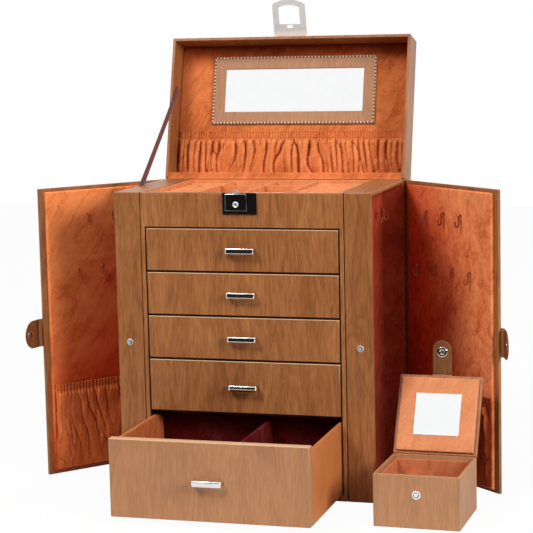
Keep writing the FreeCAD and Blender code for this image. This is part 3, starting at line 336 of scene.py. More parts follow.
# Painted shade and painted highlight: a darker velvet for the hollows of the lid pocket's folds
# and a lighter one for their crests.
valley_shade_velvet = velvet("valley_shade_velvet", (0.30, 0.052, 0.012), (0.17, 0.022, 0.005), 0.06, 1.2)
crest_highlight_velvet = velvet("crest_highlight_velvet", (0.68, 0.21, 0.066), (0.52, 0.12, 0.032), 0.35, 1.2)
tray_velvet = velvet("tray_velvet", (0.68, 0.225, 0.082), (0.50, 0.125, 0.036), 0.35)
case_lid_velvet = velvet("case_lid_velvet", (0.62, 0.23, 0.10), (0.50, 0.15, 0.055), 0.3)
case_velvet = velvet("case_velvet", (0.46, 0.135, 0.05), (0.30, 0.06, 0.02), 0.15)
# For each door, a point and a way out of the line towards which its velvet is painted darker as
# shade by the hinge, and its tint
DOOR_SHADE_LINES = {"left": ((0, 0, 0.08), (0, -0.50, 0.45), (0.95, 0.27, 0.08)),
             "right": ((0, 0, 0), (0, -0.9, 0.16), (0.82, 0.25, 0.09))}
door_velvets = {name: velvet(f"{name}_door_velvet", tint, (0.50, 0.065, 0.010), 0.04, 1.25,
                             (DOORS[name] @ Vector(foot), direction(DOORS[name], *way)), 6.5,
                             (0.30, 0.02, 0.01))
                for name, (foot, way, tint) in DOOR_SHADE_LINES.items()}
# Painted shade and painted highlight for the door pockets: a darker velvet in the hollows of the
# folds and lighter ones on the crests. The right pocket's velvets are darker copies, painted
# shade.
door_valley_shade = velvet("pocket_valley_velvet", (0.26, 0.030, 0.006), (0.14, 0.012, 0.003), 0.03)
pocket_velvets = {
    "left": velvet("left_pocket_velvet", (0.64, 0.15, 0.038), (0.42, 0.07, 0.013), 0.08),
    "right": velvet("right_pocket_velvet", (0.36, 0.05, 0.014), (0.2, 0.02, 0.005), 0.04)}
door_crest_highlights = {
    "left": velvet("left_crest_velvet", (0.86, 0.26, 0.072), (0.60, 0.13, 0.03), 0.2),
    "right": velvet("right_crest_velvet", (0.60, 0.15, 0.045), (0.4, 0.07, 0.02), 0.1)}
# Painted shade: a dark copy of the velvet for the compartments and the front-facing faces of the
# door hinge strips.
painted_shade_velvet = velvet("painted_shade_velvet", (0.34, 0.040, 0.014), (0.15, 0.009, 0.004), 0.06, 1.3)
# Painted shade: a near-black copy of the velvet for the bottom drawer's lining, and a less dark
# one for its end walls and rims, where light reaches.
drawer_velvet = velvet("drawer_velvet", (0.085, 0.003, 0.002), (0.03, 0.001, 0.0006), 0.0)
drawer_lit_end_velvet = velvet("drawer_lit_end_velvet", (0.42, 0.10, 0.028), (0.24, 0.035, 0.010), 0.1)
# Painted shade: a near-black cover for the drawer bay's side walls and shelves.
bay_shade_cover = smooth_cover("bay_shade_cover", (0.022, 0.006, 0.004), 0.7)
drawer_cover = smooth_cover("drawer_cover", (0.50, 0.165, 0.045))
# Painted shade: a near-black cover for the faces in the gaps round the drawer fronts.
gap_shade_cover = smooth_cover("gap_shade_cover", (0.030, 0.011, 0.006), 0.62)

chrome = plated("chrome", (0.93, 0.92, 0.91), 0.04)
satin_steel = plated("satin_steel", (0.92, 0.91, 0.90), 0.26, 0.7)
hasp_steel = plated("hasp_steel", (0.98, 0.97, 0.96), 0.2, 0.3)
# Painted reflection: the hasp's side faces take a brown tint, for the brown lid they mirror.
hasp_side_reflection = plated("hasp_edge_steel", (0.36, 0.20, 0.15), 0.18)
# Painted reflection: the lock plate's metal is tinted dark, for the dark room its front mirrors.
dark_reflection_chrome = plated("dark_reflection_chrome", (0.42, 0.42, 0.44), 0.05)
mirror_glass = speckled("silvered_glass", 60, (0.93, 0.94, 0.94), (0.97, 0.97, 0.97), 0.015,
                        0.02, stops=(0.2, 0.8), Metallic=1.0)
# The hooks' tint is darker than their real orange, partly painted shade for the shadows round
# their thicker real bodies.
hook_plastic = speckled("hook_plastic", 240, (0.24, 0.038, 0.010), (0.40, 0.085, 0.024), 0.26,
                        0.12, 0.3, Specular_IOR_Level=0.4)
thread = speckled("sewing_thread", 2400, (0.74, 0.55, 0.33), (0.95, 0.84, 0.62), 0.7,
                  strength=0.4, stops=(0.35, 0.65))
# Painted shade: a near-black stuff for the needle holes, the snap sockets' middles and the lock's
# keyway.
hole = speckled("needle_hole_shade", 1500, (0.03, 0.009, 0.004), (0.09, 0.03, 0.013), 0.8)
ribbon_weave = woven_ribbon()


def paint(material, *names):
    for name in names:
        for entry in nodes[name].material_slots:
            entry.material = material
        if not nodes[name].material_slots:
            nodes[name].data.materials.append(material)


def second_finish(mesh, material, chosen):
    """Gives another material to the faces that chosen picks."""
    mesh.materials.append(material)
    mesh.polygons.foreach_set("material_index", [int(chosen(face)) for face in mesh.polygons])


def ease(made, width, degrees):
    """Rounds the edges that are sharper than an angle, with modifiers alone."""
    weld = made.modifiers.new("weld", "WELD")
    weld.merge_threshold = 1e-6
    bevel = made.modifiers.new("ease", "BEVEL")
    bevel.width, bevel.segments = width, 3
    bevel.limit_method, bevel.angle_limit = "ANGLE", math.radians(degrees)
    bevel.harden_normals = True
    return bevel


def ease_nodes(width, *names):
    for name in names:
        ease(nodes[name], width, 40).material = 0


def stud_finish(node, side=0):
    """The ringed plating of a stud; side picks the left or the right one of a pair."""
    low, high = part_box(node)
    radius = (high.z - low.z) / 2
    x = {0: (low.x + high.x) / 2, -1: low.x + radius, 1: high.x - radius}[side]
    return ringed_plating(f"{node}_plating_{side + 1}", (x, low.y, (low.z + high.z) / 2),
                          (0, -1, 0), radius * 0.55, radius * 0.15)


def looks_into_gap(face):
    """Whether a face of the cabinet's front looks to the side, up or down."""
    return max(abs(face.normal.x), abs(face.normal.z)) > 0.9


paint(cabinet_leather, "base_board", "back_panel", "front_frame", "top_boards")
paint(stile_leather, "left_stile", "right_stile")
paint(lid_leather, "lid_shell")
paint(mirror_leather, "lid_mirror_frame")
paint(door_leather, "left_door_board", "right_door_board")
paint(case_leather, "case_shell")
paint(case_lid_leather, "case_lid")
for number, leather in enumerate(front_leathers, 1):
    paint(leather, f"drawer_{number}_front")
    paint(drawer_cover, f"drawer_{number}_box")
paint(bay_shade_cover, "side_walls", "shelves")
paint(hook_plastic, "wall_hooks", "left_door_hooks", "right_door_hooks")
paint(hasp_steel, "hasp", "hasp_bracket")
paint(satin_steel, "lock_cylinder", "lock_catch")
paint(dark_reflection_chrome, "lock_plate")
paint(mirror_glass, "lid_mirror", "case_mirror")
paint(stud_finish("case_snap_stud"), "case_snap_stud")
paint(stud_finish("snap_studs", -1), "snap_studs")
second_finish(nodes["snap_studs"].data, stud_finish("snap_studs", 1), lambda f: f.center.x > 0)
# Painted reflection on the hasp's side faces.
second_finish(nodes["hasp"].data, hasp_side_reflection, lambda f: abs(f.normal.x) > 0.7)
# Painted shade on the faces that look into the gaps round the drawer fronts
second_finish(nodes["front_frame"].data, gap_shade_cover,
              lambda f: looks_into_gap(f) and f.center.z < 0.333 and abs(f.center.x) < 0.117)
for number in range(1, 5):
    second_finish(nodes[f"drawer_{number}_front"].data, gap_shade_cover, looks_into_gap)

ease_nodes(0.0006, "lock_plate", "hasp_bracket")
ease_nodes(0.0007, "hasp")
ease_nodes(0.0009, *(f"drawer_{number}_front" for number in range(1, 6)))
ease_nodes(0.0002, "snap_studs", "case_snap_stud", "lock_cylinder")


def linked(name, data):
    made = bpy.data.objects.new(name, data)
    scene.collection.objects.link(made)
    return made


def piece(name, points, faces, material):
    mesh = bpy.data.meshes.new(name)
    mesh.from_pydata([tuple(p) for p in points], [], faces)
    mesh.materials.append(material)
    mesh.validate()
    mesh.shade_smooth()
    return linked(name, mesh)


def fit(made, body, node=None):
    """Hangs a piece on its body, in the place of the CAD node that it stands for."""
    if node:
        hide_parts(node)
    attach(made, body)


def thickened(made, thick):
    solid = made.modifiers.new("thickness", "SOLIDIFY")
    solid.thickness, solid.offset = thick, 0.0


def bake(made):
    """Applies a piece's modifiers."""
    bpy.context.view_layer.update()
    graph = bpy.context.evaluated_depsgraph_get()
    mesh = bpy.data.meshes.new_from_object(made.evaluated_get(graph))
    made.modifiers.clear()
    made.data = mesh


def outward(made):
    """Turns the faces of a closed mesh outwards."""
    shape = bmesh.new()
    shape.from_mesh(made.data)
    bmesh.ops.recalc_face_normals(shape, faces=shape.faces)
    shape.to_mesh(made.data)
    shape.free()
    return made


def grid_faces(columns, rows, start=0, closed=False):
    faces = []
    for row in range(rows - 1):
        for column in range(columns if closed else columns - 1):
            near, far = start + row * columns, start + (row + 1) * columns
            side = (column + 1) % columns
            faces.append((near + column, near + side, far + side, far + column))
    return faces


def tube_faces(around, rings):
    """The walls of a closed tube and its two end faces."""
    last = (rings - 1) * around
    return grid_faces(around, rings, closed=True) + [
        tuple(range(around)), tuple(last + k for k in reversed(range(around)))]


PAD_STEP, FILLING_PRESSURE, CLOTH_FRAMES = 0.004, 4.0, 20


def border_marks(length, edge):
    """Places across a padded face, and how far each has risen round its edge."""
    turns = 5
    angles = [k / turns * math.pi / 2 for k in range(turns + 1)]
    rounds = [(edge * (1 - math.cos(angle)), math.sin(angle)) for angle in angles]
    count = max(2, round((length - 2 * edge) / PAD_STEP))
    middle = [(edge + (length - 2 * edge) * k / count, 1.0) for k in range(1, count)]
    return rounds + middle + [(length - inset, rise) for inset, rise in reversed(rounds)]


def ripple(x, y, z):
    return noise.noise(Vector((x, y, z)))


def wrinkle(point, scale, seed):
    return noise.noise(Vector(point) * scale + Vector((seed, seed * 2.3, -seed)))


def plumped(points, columns, held, cap):
    """The points of a cover blown up as cloth over its filling, no further than the cap.

    held says of each point whether the cover is sewn down there."""
    mesh = bpy.data.meshes.new("filled_cover")
    mesh.from_pydata(points, [], grid_faces(columns, len(points) // columns))
    cloth = linked("filled_cover", mesh)
    group = cloth.vertex_groups.new(name="held")
    group.add([index for index, grip in enumerate(held) if grip], 1.0, "REPLACE")
    filling = cloth.modifiers.new("filling", "CLOTH")
    filling.settings.vertex_group_mass = "held"
    filling.settings.use_pressure = True
    filling.settings.uniform_pressure_force = FILLING_PRESSURE
    filling.settings.effector_weights.gravity = 0.0
    filling.point_cache.frame_start, filling.point_cache.frame_end = 1, CLOTH_FRAMES
    for number in range(1, CLOTH_FRAMES + 1):
        scene.frame_set(number)
    settled = cloth.evaluated_get(bpy.context.evaluated_depsgraph_get()).data
    moves = [end.co - start.co for start, end in zip(mesh.vertices, settled.vertices)]
    raised = [start.co + move * (cap * math.tanh(move.length / cap) / max(move.length, 1e-9))
              for start, move in zip(mesh.vertices, moves)]
    bpy.data.objects.remove(cloth)
    scene.frame_set(1)
    return raised


def pad_piece(name, node, body, material, size, edge, to_world, crown, crease, seed,
              sewn=0.0):
    """A crowned pad on the plane w = 0, with its corner at the origin of to_world.

    to_world turns (across, up, out) into a point of the row frame. The face is blown up as cloth
    that is held round its border, and as far up as something is sewn over it."""
    width, height, thick = size
    across, up = border_marks(width, edge), border_marks(height, edge)
    points, face, held = [], [], []
    for v, rise_v in up:
        for u, rise_u in across:
            rise = min(rise_u, rise_v)
            out = thick - edge + edge * rise if rise > 0 else 0.0
            if rise == 1:
                fade = min(1.0, max(0.0, (min(u, width - u, v, height - v) - edge) / 0.012))
                out += crease * fade * (wrinkle((u, v, 0), 38, seed)
                                        + 0.5 * wrinkle((u + v, v * 0.35, 0), 90, seed))
                face.append(len(points))
                held.append(min(u, width - u, v - sewn, height - v) < edge * 1.01)
            points.append(to_world(u, v, out))
    face_columns = sum(rise == 1 for _, rise in across)
    raised = plumped([points[index] for index in face], face_columns, held, crown)
    for index, point in zip(face, raised):
        points[index] = point
    columns, rows = len(across), len(up)
    last = (rows - 1) * columns
    rim = ([*range(columns)]
           + [row * columns + columns - 1 for row in range(1, rows)]
           + [*range(last + columns - 2, last - 1, -1)]
           + [row * columns for row in range(rows - 2, 0, -1)])
    made = piece(name, points, grid_faces(columns, rows) + [tuple(reversed(rim))], material)
    fit(made, body, node)


def cover(node, name, body, width, material):
    """A covered copy of a plain solid, with its edges eased as cloth over board eases them."""
    made = linked(name, nodes[node].data.copy())
    made.data.materials.clear()
    made.data.materials.append(material)
    ease(made, width, 35)
    made.data.shade_smooth()
    fit(made, body, node)
    return made


def drawer_lining():
    """The end wall and its rims are painted lighter, where light reaches; the rest is painted deep
    red, as shade.
    """
    ends = [corner.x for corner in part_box("drawer_5_lining")]

    def lit(face):
        at_end = min(abs(face.center.x - end) for end in ends) < 0.006
        upward = face.normal.z > 0.9 and face.center.z > 0.03
        return at_end and (upward or abs(face.normal.x) > 0.9)

    made = cover("drawer_5_lining", "bottom_drawer_cover", "drawer_5", 0.0004, drawer_velvet)
    second_finish(made.data, drawer_lit_end_velvet, lit)


cover("tray_liner", "tray_cover", "cabinet", 0.0007, tray_velvet)
cover("compartment_linings", "compartment_cover", "cabinet", 0.0005, painted_shade_velvet)
drawer_lining()
cover("case_liner", "case_cover", "travel_case", 0.0008, case_velvet)

LID_WALL, LID_RIM, LID_DEPTH = 0.003, 0.0001, 0.036
PANEL_THICK, RAIL_THICK, LINING_START = 0.0025, 0.0035, 0.0032
PANEL_FACE = LID_RIM + LID_DEPTH - LID_WALL - PANEL_THICK
RAIL_FACE = -HINGE_GAP - LID_WALL - RAIL_THICK
LID_HALF = HALF_WIDTH - LID_WALL - CLEARANCE
LID_POCKET_HEIGHT, LID_POCKET_HEADER = 0.0555, 0.84


def lid_point(x, along, depth):
    """along runs from the hinge to the free edge, depth from the rim plane into the lid."""
    return LID @ Vector((x, -along, depth))


def lid_lining():
    free = CABINET_DEPTH + HINGE_GAP - LID_WALL - CLEARANCE
    pad_piece("lid_lining_pad", "lid_lining", "lid", orange_velvet,
              (2 * LID_HALF, free - LINING_START, PANEL_THICK), 0.0009,
              lambda u, v, w: lid_point(u - LID_HALF, LINING_START + v,
                                        PANEL_FACE + PANEL_THICK - w),
              crown=0.0003, crease=0.0003, seed=3.1, sewn=LID_POCKET_HEIGHT + 0.008)
    pad_piece("lid_rail_pad", "lid_lining", "lid", orange_velvet,
              (2 * LID_HALF, PANEL_FACE - LID_RIM, RAIL_THICK), 0.0012,
              lambda u, v, w: lid_point(LID_HALF - u, LINING_START + w, LID_RIM + v),
              crown=0.0003, crease=0.0002, seed=4.7)


lid_lining()


def fold_ridges(y, turn, seed):
    """How high a set of loose folds stands; turn is the place counted in folds."""
    share = abs(2 * (turn - math.floor(turn)) - 1)
    strong = 0.55 + 1.6 * ripple(math.floor(turn) * 2.7, y * 20, seed + 5)
    return ((1 - share ** 2) ** 0.7 - 0.5) * min(1.25, max(0.10, strong))


def fold_wander(x, y, seed):
    return ripple(x * 15, y * 10, seed) + 0.4 * ripple(x * 60, y * 30, seed + 3)


def gathers(width, height, pitch, depth, belly, pleat_pitch, header, seed, slant=0.0):
    """How far a gathered cloth stands out, from the shares across and up.

    It is sewn down along its foot and sides. Its header is a narrow ruched band between two
    seams, and loose folds hang below it, rounded on top and sharp in their valleys."""
    wide_pitch, narrow_pitch = pitch * 1.35, pitch * 0.62

    def out(u, v):
        x, y = u * width, v * height
        down = header - v
        hem = min(1.0, min(u, 1 - u) * width / 0.005)
        ruche = (math.cos(2 * math.pi * x / pleat_pitch + 2.2 * ripple(x * 70, v * 3, seed))
                 * (0.75 + 0.5 * ripple(x * 160, 2, seed)))
        seam = math.exp(-((v - header) * height / 0.0009) ** 2)
        if down <= 0:
            brim = math.exp(-((1 - v) * height / 0.0011) ** 2)
            level = min(1.0, max(0.0, (v - header) / (1 - header)) * 2 - 1)
            full = 0.55 + 0.45 * math.cos(level * math.pi / 2)
            band = 0.0016 + 0.0006 * ruche * full + 0.0007 * brim - 0.0008 * seam
            return max(0.0004, band * hem + 0.0003)

        line = x + slant * y
        wide = fold_ridges(y, line / wide_pitch + 1.5 * fold_wander(x, y, seed), seed)
        narrow = fold_ridges(y, line / narrow_pitch + 1.2 * fold_wander(x, y, seed + 20),
                             seed + 20)
        bulge = wide + 0.45 * narrow
        fine = ripple(x * 240 + y * 30, y * 26, seed + 9)
        flare = min(1.0, down * height / 0.006)
        settle = min(1.0, v / 0.10)
        rounded = math.sin(min(1.0, v / 0.42) * math.pi / 2)
        loose = (belly * rounded * (0.45 + 0.55 * flare) + depth * bulge * settle
                 * (0.35 + 0.65 * flare) * (0.45 + 0.55 * v / header) + 0.0005 * fine)
        tight = 0.0007 * ruche * math.exp(-down * height / 0.006)
        mixed = loose * flare + 0.0012 * (1 - flare) + tight - 0.0009 * seam
        return max(0.0004, 0.0006 + mixed * hem)
    return out


def gathered_pocket(name, columns, rows, place, out, header, velvets_shaded_and_lit):
    """A gathered cloth: place takes the shares across and up and how far it stands out.

    The last argument holds its velvet, the one painted dark as shade in the valleys of the folds
    and the one painted light as a highlight on their crests."""
    base, valley, crest = velvets_shaded_and_lit
    shares = [[(column / (columns - 1), row / (rows - 1)) for column in range(columns)]
              for row in range(rows)]
    levels = [[out(u, v) for u, v in row] for row in shares]
    points = [place(u, v, level) for row, line in zip(shares, levels)
              for (u, v), level in zip(row, line)]
    reach, step, marks = 6, 0.0003, []
    for row in range(rows - 1):
        line = levels[row]
        for column in range(columns - 1):
            near = line[max(0, column - reach):column + reach + 1]
            hollow = line[column] - sum(near) / len(near)
            below = row / (rows - 1) < header - 0.04
            # Painted shade in the hollows of the folds (1) and painted highlight on their crests
            # below the header (2).
            marks.append(1 if hollow < -step else 2 if below and hollow > step else 0)
    made = piece(name, points, grid_faces(columns, rows), base)
    made.data.materials.append(valley)
    made.data.materials.append(crest)
    made.data.polygons.foreach_set("material_index", marks)
    thickened(made, CLOTH_THICK)
    return made


def lid_pocket():
    width = 2 * LID_HALF
    foot = CLEARANCE - RAIL_FACE
    out = gathers(width, LID_POCKET_HEIGHT, pitch=0.0120, depth=0.0056, belly=0.0036,
                  pleat_pitch=0.0034, header=LID_POCKET_HEADER, seed=5.0)

    def place(u, v, level):
        along = foot + LID_POCKET_HEIGHT * v + 0.0007 * ripple(u * 40, v, 3) * v
        return lid_point(width * u - LID_HALF, along, PANEL_FACE - level)

    made = gathered_pocket("lid_gathered_pocket", 400, 84, place, out, LID_POCKET_HEADER,
                           (orange_velvet, valley_shade_velvet, crest_highlight_velvet))
    fit(made, "lid", "lid_pocket")


lid_pocket()


def stitch_line(name, corners, body, lift, pitch, length, radius):
    """Thread stitches, with dark beads of painted shade for their needle holes, along a closed
    line of corners, in one mesh.
    """
    points, faces, marks = [], [], []
    around = 8
    rings = ((-1.0, 0.0), (-0.86, 0.62), (-0.4, 1.0), (0.4, 1.0), (0.86, 0.62), (1.0, 0.0))

    def bead(centre, along, side, half, wide, high, finish):
        first = len(points)
        for share, swell in rings:
            for turn in range(around):
                angle = 2 * math.pi * turn / around
                points.append(centre + along * (half * share)
                              + side * (wide * swell * math.cos(angle))
                              + lift * (high * swell * math.sin(angle)))
        walls = grid_faces(around, len(rings), first, closed=True)
        faces.extend(walls)
        marks.extend([finish] * len(walls))

    for start, end in zip(corners, corners[1:] + corners[:1]):
        run = end - start
        count = round(run.length / pitch)
        along = run.normalized()
        side = along.cross(lift).normalized()
        tilt = (along + side * 0.1).normalized()
        for number in range(count):
            middle = start + run * ((number + 0.5) / count)
            bead(middle + lift * (radius * 0.55), tilt, side, length / 2, radius, radius * 0.8, 0)
            # Painted shade: a flat dark bead for each needle hole.
            bead(start + run * (number / count), along, side, (pitch - length) * 0.62,
                 radius * 1.1, radius * 0.35, 1)
    made = piece(name, points, faces, thread)
    made.data.materials.append(hole)
    made.data.polygons.foreach_set("material_index", marks)
    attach(made, body)


def mirror_stitches():
    middle, half_glass, border, inset = 0.112, Vector((0.085, 0.026)), 0.0154, 0.0017
    half = half_glass + Vector((border - inset, border - inset))
    frame_face = PANEL_FACE - 0.0022
    corners = [lid_point(x * half.x, middle + y * half.y, frame_face)
               for x, y in ((-1, -1), (1, -1), (1, 1), (-1, 1))]
    stitch_line("mirror_frame_stitches", corners, "lid", direction(LID, 0, 0, -1).normalized(),
                pitch=0.0042, length=0.0023, radius=0.00082)


mirror_stitches()


STRIP_STEP = 0.0012


def bent_strip(name, path, ends, place, material, node=None,
               thick=CLOTH_THICK, columns=40):
    """A strip of the section path, swept along a hinge line from one end to the other.

    place turns a length along the line and a spot of the path into a point. The strip's path runs
    round from one body to the other."""
    first, last = ends
    points = [place(first + (last - first) * column / (columns - 1), spot)
              for spot in path for column in range(columns)]
    made = piece(name, points, grid_faces(columns, len(path)), material)
    thickened(made, thick)
    bake(made)
    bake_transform(made)
    if node:
        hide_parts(node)
    return made


def in_section(x, spot):
    return Vector((x, *spot))


def lid_hinge_leather():
    """The strip glued to the back panel and, round the corner, to the lid's hinge edge."""
    down = [(BACK + CLEARANCE, TOP - 0.011 + STRIP_STEP * k) for k in range(9)]
    corner = [(BACK + 0.00045, TOP - 0.0006), (BACK + 0.0009, TOP + 0.0001)]
    under = [lid_point(0, -HINGE_GAP - CLEARANCE, 0.0012 + STRIP_STEP * k) for k in range(9)]
    bent_strip("lid_hinge_leather", down + corner + [(p.y, p.z) for p in under],
               (-0.1335, 0.1335), in_section, lid_leather,
               "lid_hinge")


def door_hinge_leather():
    for name, side in SIDES.items():
        edge = side * HALF_WIDTH
        flat = [Vector((edge - side * (0.011 - STRIP_STEP * k), BACK + CLEARANCE, 0))
                for k in range(9)]
        turn = [Vector((edge + side * CLEARANCE, BACK + 0.0009, 0))]
        board = [DOORS[name] @ Vector((side * (0.0012 + 0.0006 * k), -0.001, 0))
                 for k in range(6)]
        made = bent_strip(f"{name}_door_hinge_leather", flat + turn + board, (0.0015, 0.3352),
                          lambda z, p: Vector((p.x, p.y, z)), hinge_leather,
                          "door_hinges")
        # Painted shade: the strip's faces that look to the front take the dark velvet.
        second_finish(made.data, painted_shade_velvet, lambda f: f.normal.y < -0.3)


def case_hinge_leather():
    """The strip glued to the small case's back wall and to the hinge edge of its lid."""
    path = [(CASE, 0.088 + CLEARANCE, 0.0452 + STRIP_STEP * k) for k in range(9)]
    path += [(CASE_LID, CLEARANCE - HINGE_GAP, 0.0007 + 0.0006 * k) for k in range(6)]
    bent_strip("case_hinge_leather", path, (0.003, 0.088),
               lambda x, p: p[0] @ Vector((x, p[1], p[2])), case_leather,
               "case_hinge")


def hinge_lining():
    """The velvet band that covers the lid's rear rim and folds down over the back panel."""
    lap = [(BACK - 0.0045, TOP + 0.00035), (BACK - 0.0025, TOP + 0.0004),
           (BACK - 0.0012, TOP + 0.0005)]
    rise = [lid_point(0, along, LID_RIM - 0.0004)
            for along in (0.0010, 0.0022, 0.0035, 0.0048, 0.0060, 0.0067)]
    rise.append(lid_point(0, 0.0071, LID_RIM + 0.0006))
    bent_strip("hinge_lining", lap + [(p.y, p.z) for p in rise], (-0.1415, 0.1415), in_section,
               orange_velvet,
               thick=0.0005, columns=80)


lid_hinge_leather()
door_hinge_leather()
case_hinge_leather()
hinge_lining()


def ribbon():
    foot = Vector((0, -0.005, TOP))
    head = LID @ Vector((0, -0.110, 0.016))
    wall = CLEARANCE + 0.0001 + LID_WALL - HALF_WIDTH
    half, steps, columns = 0.0055, 60, 9
    line = (head - foot).normalized()
    side = Vector((0, -line.z, line.y))
    points = []
    for step in range(steps + 1):
        share = step / steps
        middle = foot.lerp(head + line * 0.004, share)
        for column in range(columns):
            c = column / 4 - 1
            edge = side * (half * c)
            point = middle + edge
            if step == 0:
                point -= line * (edge.z / line.z)
            if step == steps:
                point += line * (0.0045 * (1 - abs(c)) - 0.0045)
            twist = (0.0004 * math.sin(share * 9) * (1 - c * c)
                     + 0.0005 * math.sin(math.pi * share) * c)
            points.append(Vector((wall + twist, point.y, max(point.z, TOP + 0.0001))))
    made = piece("lid_ribbon", points, grid_faces(columns, steps + 1), ribbon_weave)
    thickened(made, CLOTH_THICK)
    bake(made)
    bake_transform(made)
    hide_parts("ribbon_stay")


ribbon()

ROLL_COLUMNS, ROLL_ROWS = 26, 22


def ring_roll(left, right, first, depth, seed):
    """The points of one roll: up, over a round crown and down again, with soft ends."""
    bottom, top, end_length = 0.300, 0.332, 0.0035
    middle = first + depth / 2
    for row in range(ROLL_ROWS):
        angle = math.pi * row / (ROLL_ROWS - 1)
        rise = math.sin(angle) ** 0.62
        for column in range(ROLL_COLUMNS):
            across = column / (ROLL_COLUMNS - 1)
            end = min(across, 1 - across) * (right - left)
            soft = math.sqrt(max(0.0, 1 - (1 - min(1, end / end_length)) ** 2))
            x = left + (right - left) * across
            y = middle - depth / 2 * math.cos(angle) * (1 - 0.09 * (1 - soft))
            z = bottom + (top - bottom) * rise * (0.86 + 0.14 * soft)
            z += 0.0004 * rise * wrinkle((x, y, z), 130, seed)
            yield Vector((x, y, min(z, top)))


def ring_rolls():
    low, high, count, gap = -0.0767, 0.0787, 8, 0.0008
    pitch = (high - low - gap) / count
    last = (ROLL_ROWS - 1) * ROLL_COLUMNS
    for name, left, right in (("left", -0.1074, -0.0598), ("right", 0.0438, 0.1074)):
        points, faces = [], []
        for number in range(count):
            start = len(points)
            points += ring_roll(left, right, low + gap + number * pitch + 0.0001,
                                pitch - gap - 0.0002, number + 1.5)
            ends = [[start + row * ROLL_COLUMNS + column for row in range(ROLL_ROWS)]
                    for column in (0, ROLL_COLUMNS - 1)]
            under = [*range(start, start + ROLL_COLUMNS),
                     *range(start + last + ROLL_COLUMNS - 1, start + last - 1, -1)]
            faces += grid_faces(ROLL_COLUMNS, ROLL_ROWS, start)
            faces += [tuple(ends[0]), tuple(reversed(ends[1])), tuple(under)]
        bank = piece(f"{name}_ring_rolls", points, faces, tray_velvet)
        fit(bank, "cabinet", "ring_rolls")


ring_rolls()

PAD_THICK = 0.0035
PAD_LOW, PAD_HIGH, PAD_NEAR, PAD_FAR = 0.0055, 0.331, 0.0085, 0.161
DOOR_POCKET_HEIGHT, DOOR_POCKET_HEADER, POCKET_INSET = 0.100, 0.93, 0.002


def door_point(name, along, up, out):
    """along runs over the pad from its left edge as seen, out from the board to the inside."""
    side = SIDES[name]
    across = PAD_NEAR + along if side < 0 else PAD_FAR - along
    return DOORS[name] @ Vector((side * (CLEARANCE - out), -across, PAD_LOW + up))


def door_cushion(name):
    pad_piece(f"{name}_door_cushion", f"{name}_door_pad", f"{name}_door",
              door_velvets[name], (PAD_FAR - PAD_NEAR, PAD_HIGH - PAD_LOW, PAD_THICK), 0.002,
              lambda u, v, w: door_point(name, u, v, w), crown=0.0005, crease=0.0004,
              seed=6.0 + SIDES[name], sewn=DOOR_POCKET_HEIGHT + 0.004)


def door_pocket(name):
    width = PAD_FAR - PAD_NEAR - 2 * POCKET_INSET
    out = gathers(width, DOOR_POCKET_HEIGHT, pitch=0.026, depth=0.0048, belly=0.0022,
                  pleat_pitch=0.0042, header=DOOR_POCKET_HEADER, seed=15.0 + SIDES[name],
                  slant=0.35 * SIDES[name])

    def place(u, v, level):
        return door_point(name, POCKET_INSET + width * u, POCKET_INSET + DOOR_POCKET_HEIGHT * v,
                          PAD_THICK + level)

    made = gathered_pocket(f"{name}_gathered_pocket", 320, 110, place, out, DOOR_POCKET_HEADER,
                           (pocket_velvets[name], door_valley_shade, door_crest_highlights[name]))
    fit(made, f"{name}_door", f"{name}_door_pocket")


for name in SIDES:
    door_cushion(name)
    door_pocket(name)


def case_lid_pad():
    width, depth, margin = 0.091, 0.088, 0.0034
    pad_piece("case_lid_cushion", "case_lid_pad", "case_lid", case_lid_velvet,
              (width - 2 * margin, depth - 2 * margin, 0.003), 0.001,
              lambda u, v, w: CASE_LID @ Vector((margin + u, -margin - HINGE_GAP - v, 0.0001 - w)),
              crown=0.0003, crease=0.00015, seed=9.0)


case_lid_pad()

STRAP_THICK, RING_THICK = 0.0012, 0.0004


def tab_outline(half, end, start):
    """Half a stadium: straight sides from start, and a round end about (0, end)."""
    steps = 20
    straight = [(half, start), (half, (start * 2 + end) / 3), (half, (start + end * 2) / 3)]
    angles = [math.pi * k / steps for k in range(steps + 1)]
    bow = [(half * math.cos(angle), end - half * math.sin(angle)) for angle in angles]
    return straight + bow + [(-x, y) for x, y in reversed(straight)]


def slab(name, outline, thick, ease_width, frame_of, material):
    """A leather slab on an outline, with turned edges and slightly domed faces."""
    rings = [(0.0035, 0.0), (0.0012, -0.00002), (ease_width, 0.0),
             (ease_width * 0.3, ease_width * 0.3), (0.0, ease_width)]
    rings += [(inset, thick - depth) for inset, depth in reversed(rings)]
    count = len(outline)
    corners = [Vector(spot) for spot in outline]
    turning = sum(corners[k].cross(corners[(k + 1) % count]) for k in range(count))
    points = []
    for inset, level in rings:
        for index in range(count):
            edge = (corners[(index + 1) % count] - corners[index - 1]).normalized()
            spot = corners[index] + Vector((edge.y, -edge.x)) * (-inset if turning > 0 else inset)
            points.append(frame_of @ Vector((*spot, level - thick / 2)))
    return outward(piece(name, points, tube_faces(count, len(rings)), material))


def lathed(name, profile, centre, axis, material, dark_reach=0.0):
    """A turned piece: profile holds (radius, height along the axis).

    The faces within dark_reach of the centre are painted dark, as the shade of a hole."""
    around = 40
    side = axis.orthogonal().normalized()
    other = axis.cross(side)
    angles = [2 * math.pi * k / around for k in range(around)]
    points = [centre + axis * height
              + (side * math.cos(angle) + other * math.sin(angle)) * radius
              for radius, height in profile for angle in angles]
    made = outward(piece(name, points, tube_faces(around, len(profile)), material))
    if dark_reach:
        second_finish(made.data, hole, lambda f: (f.center - centre).length < dark_reach)
    return made


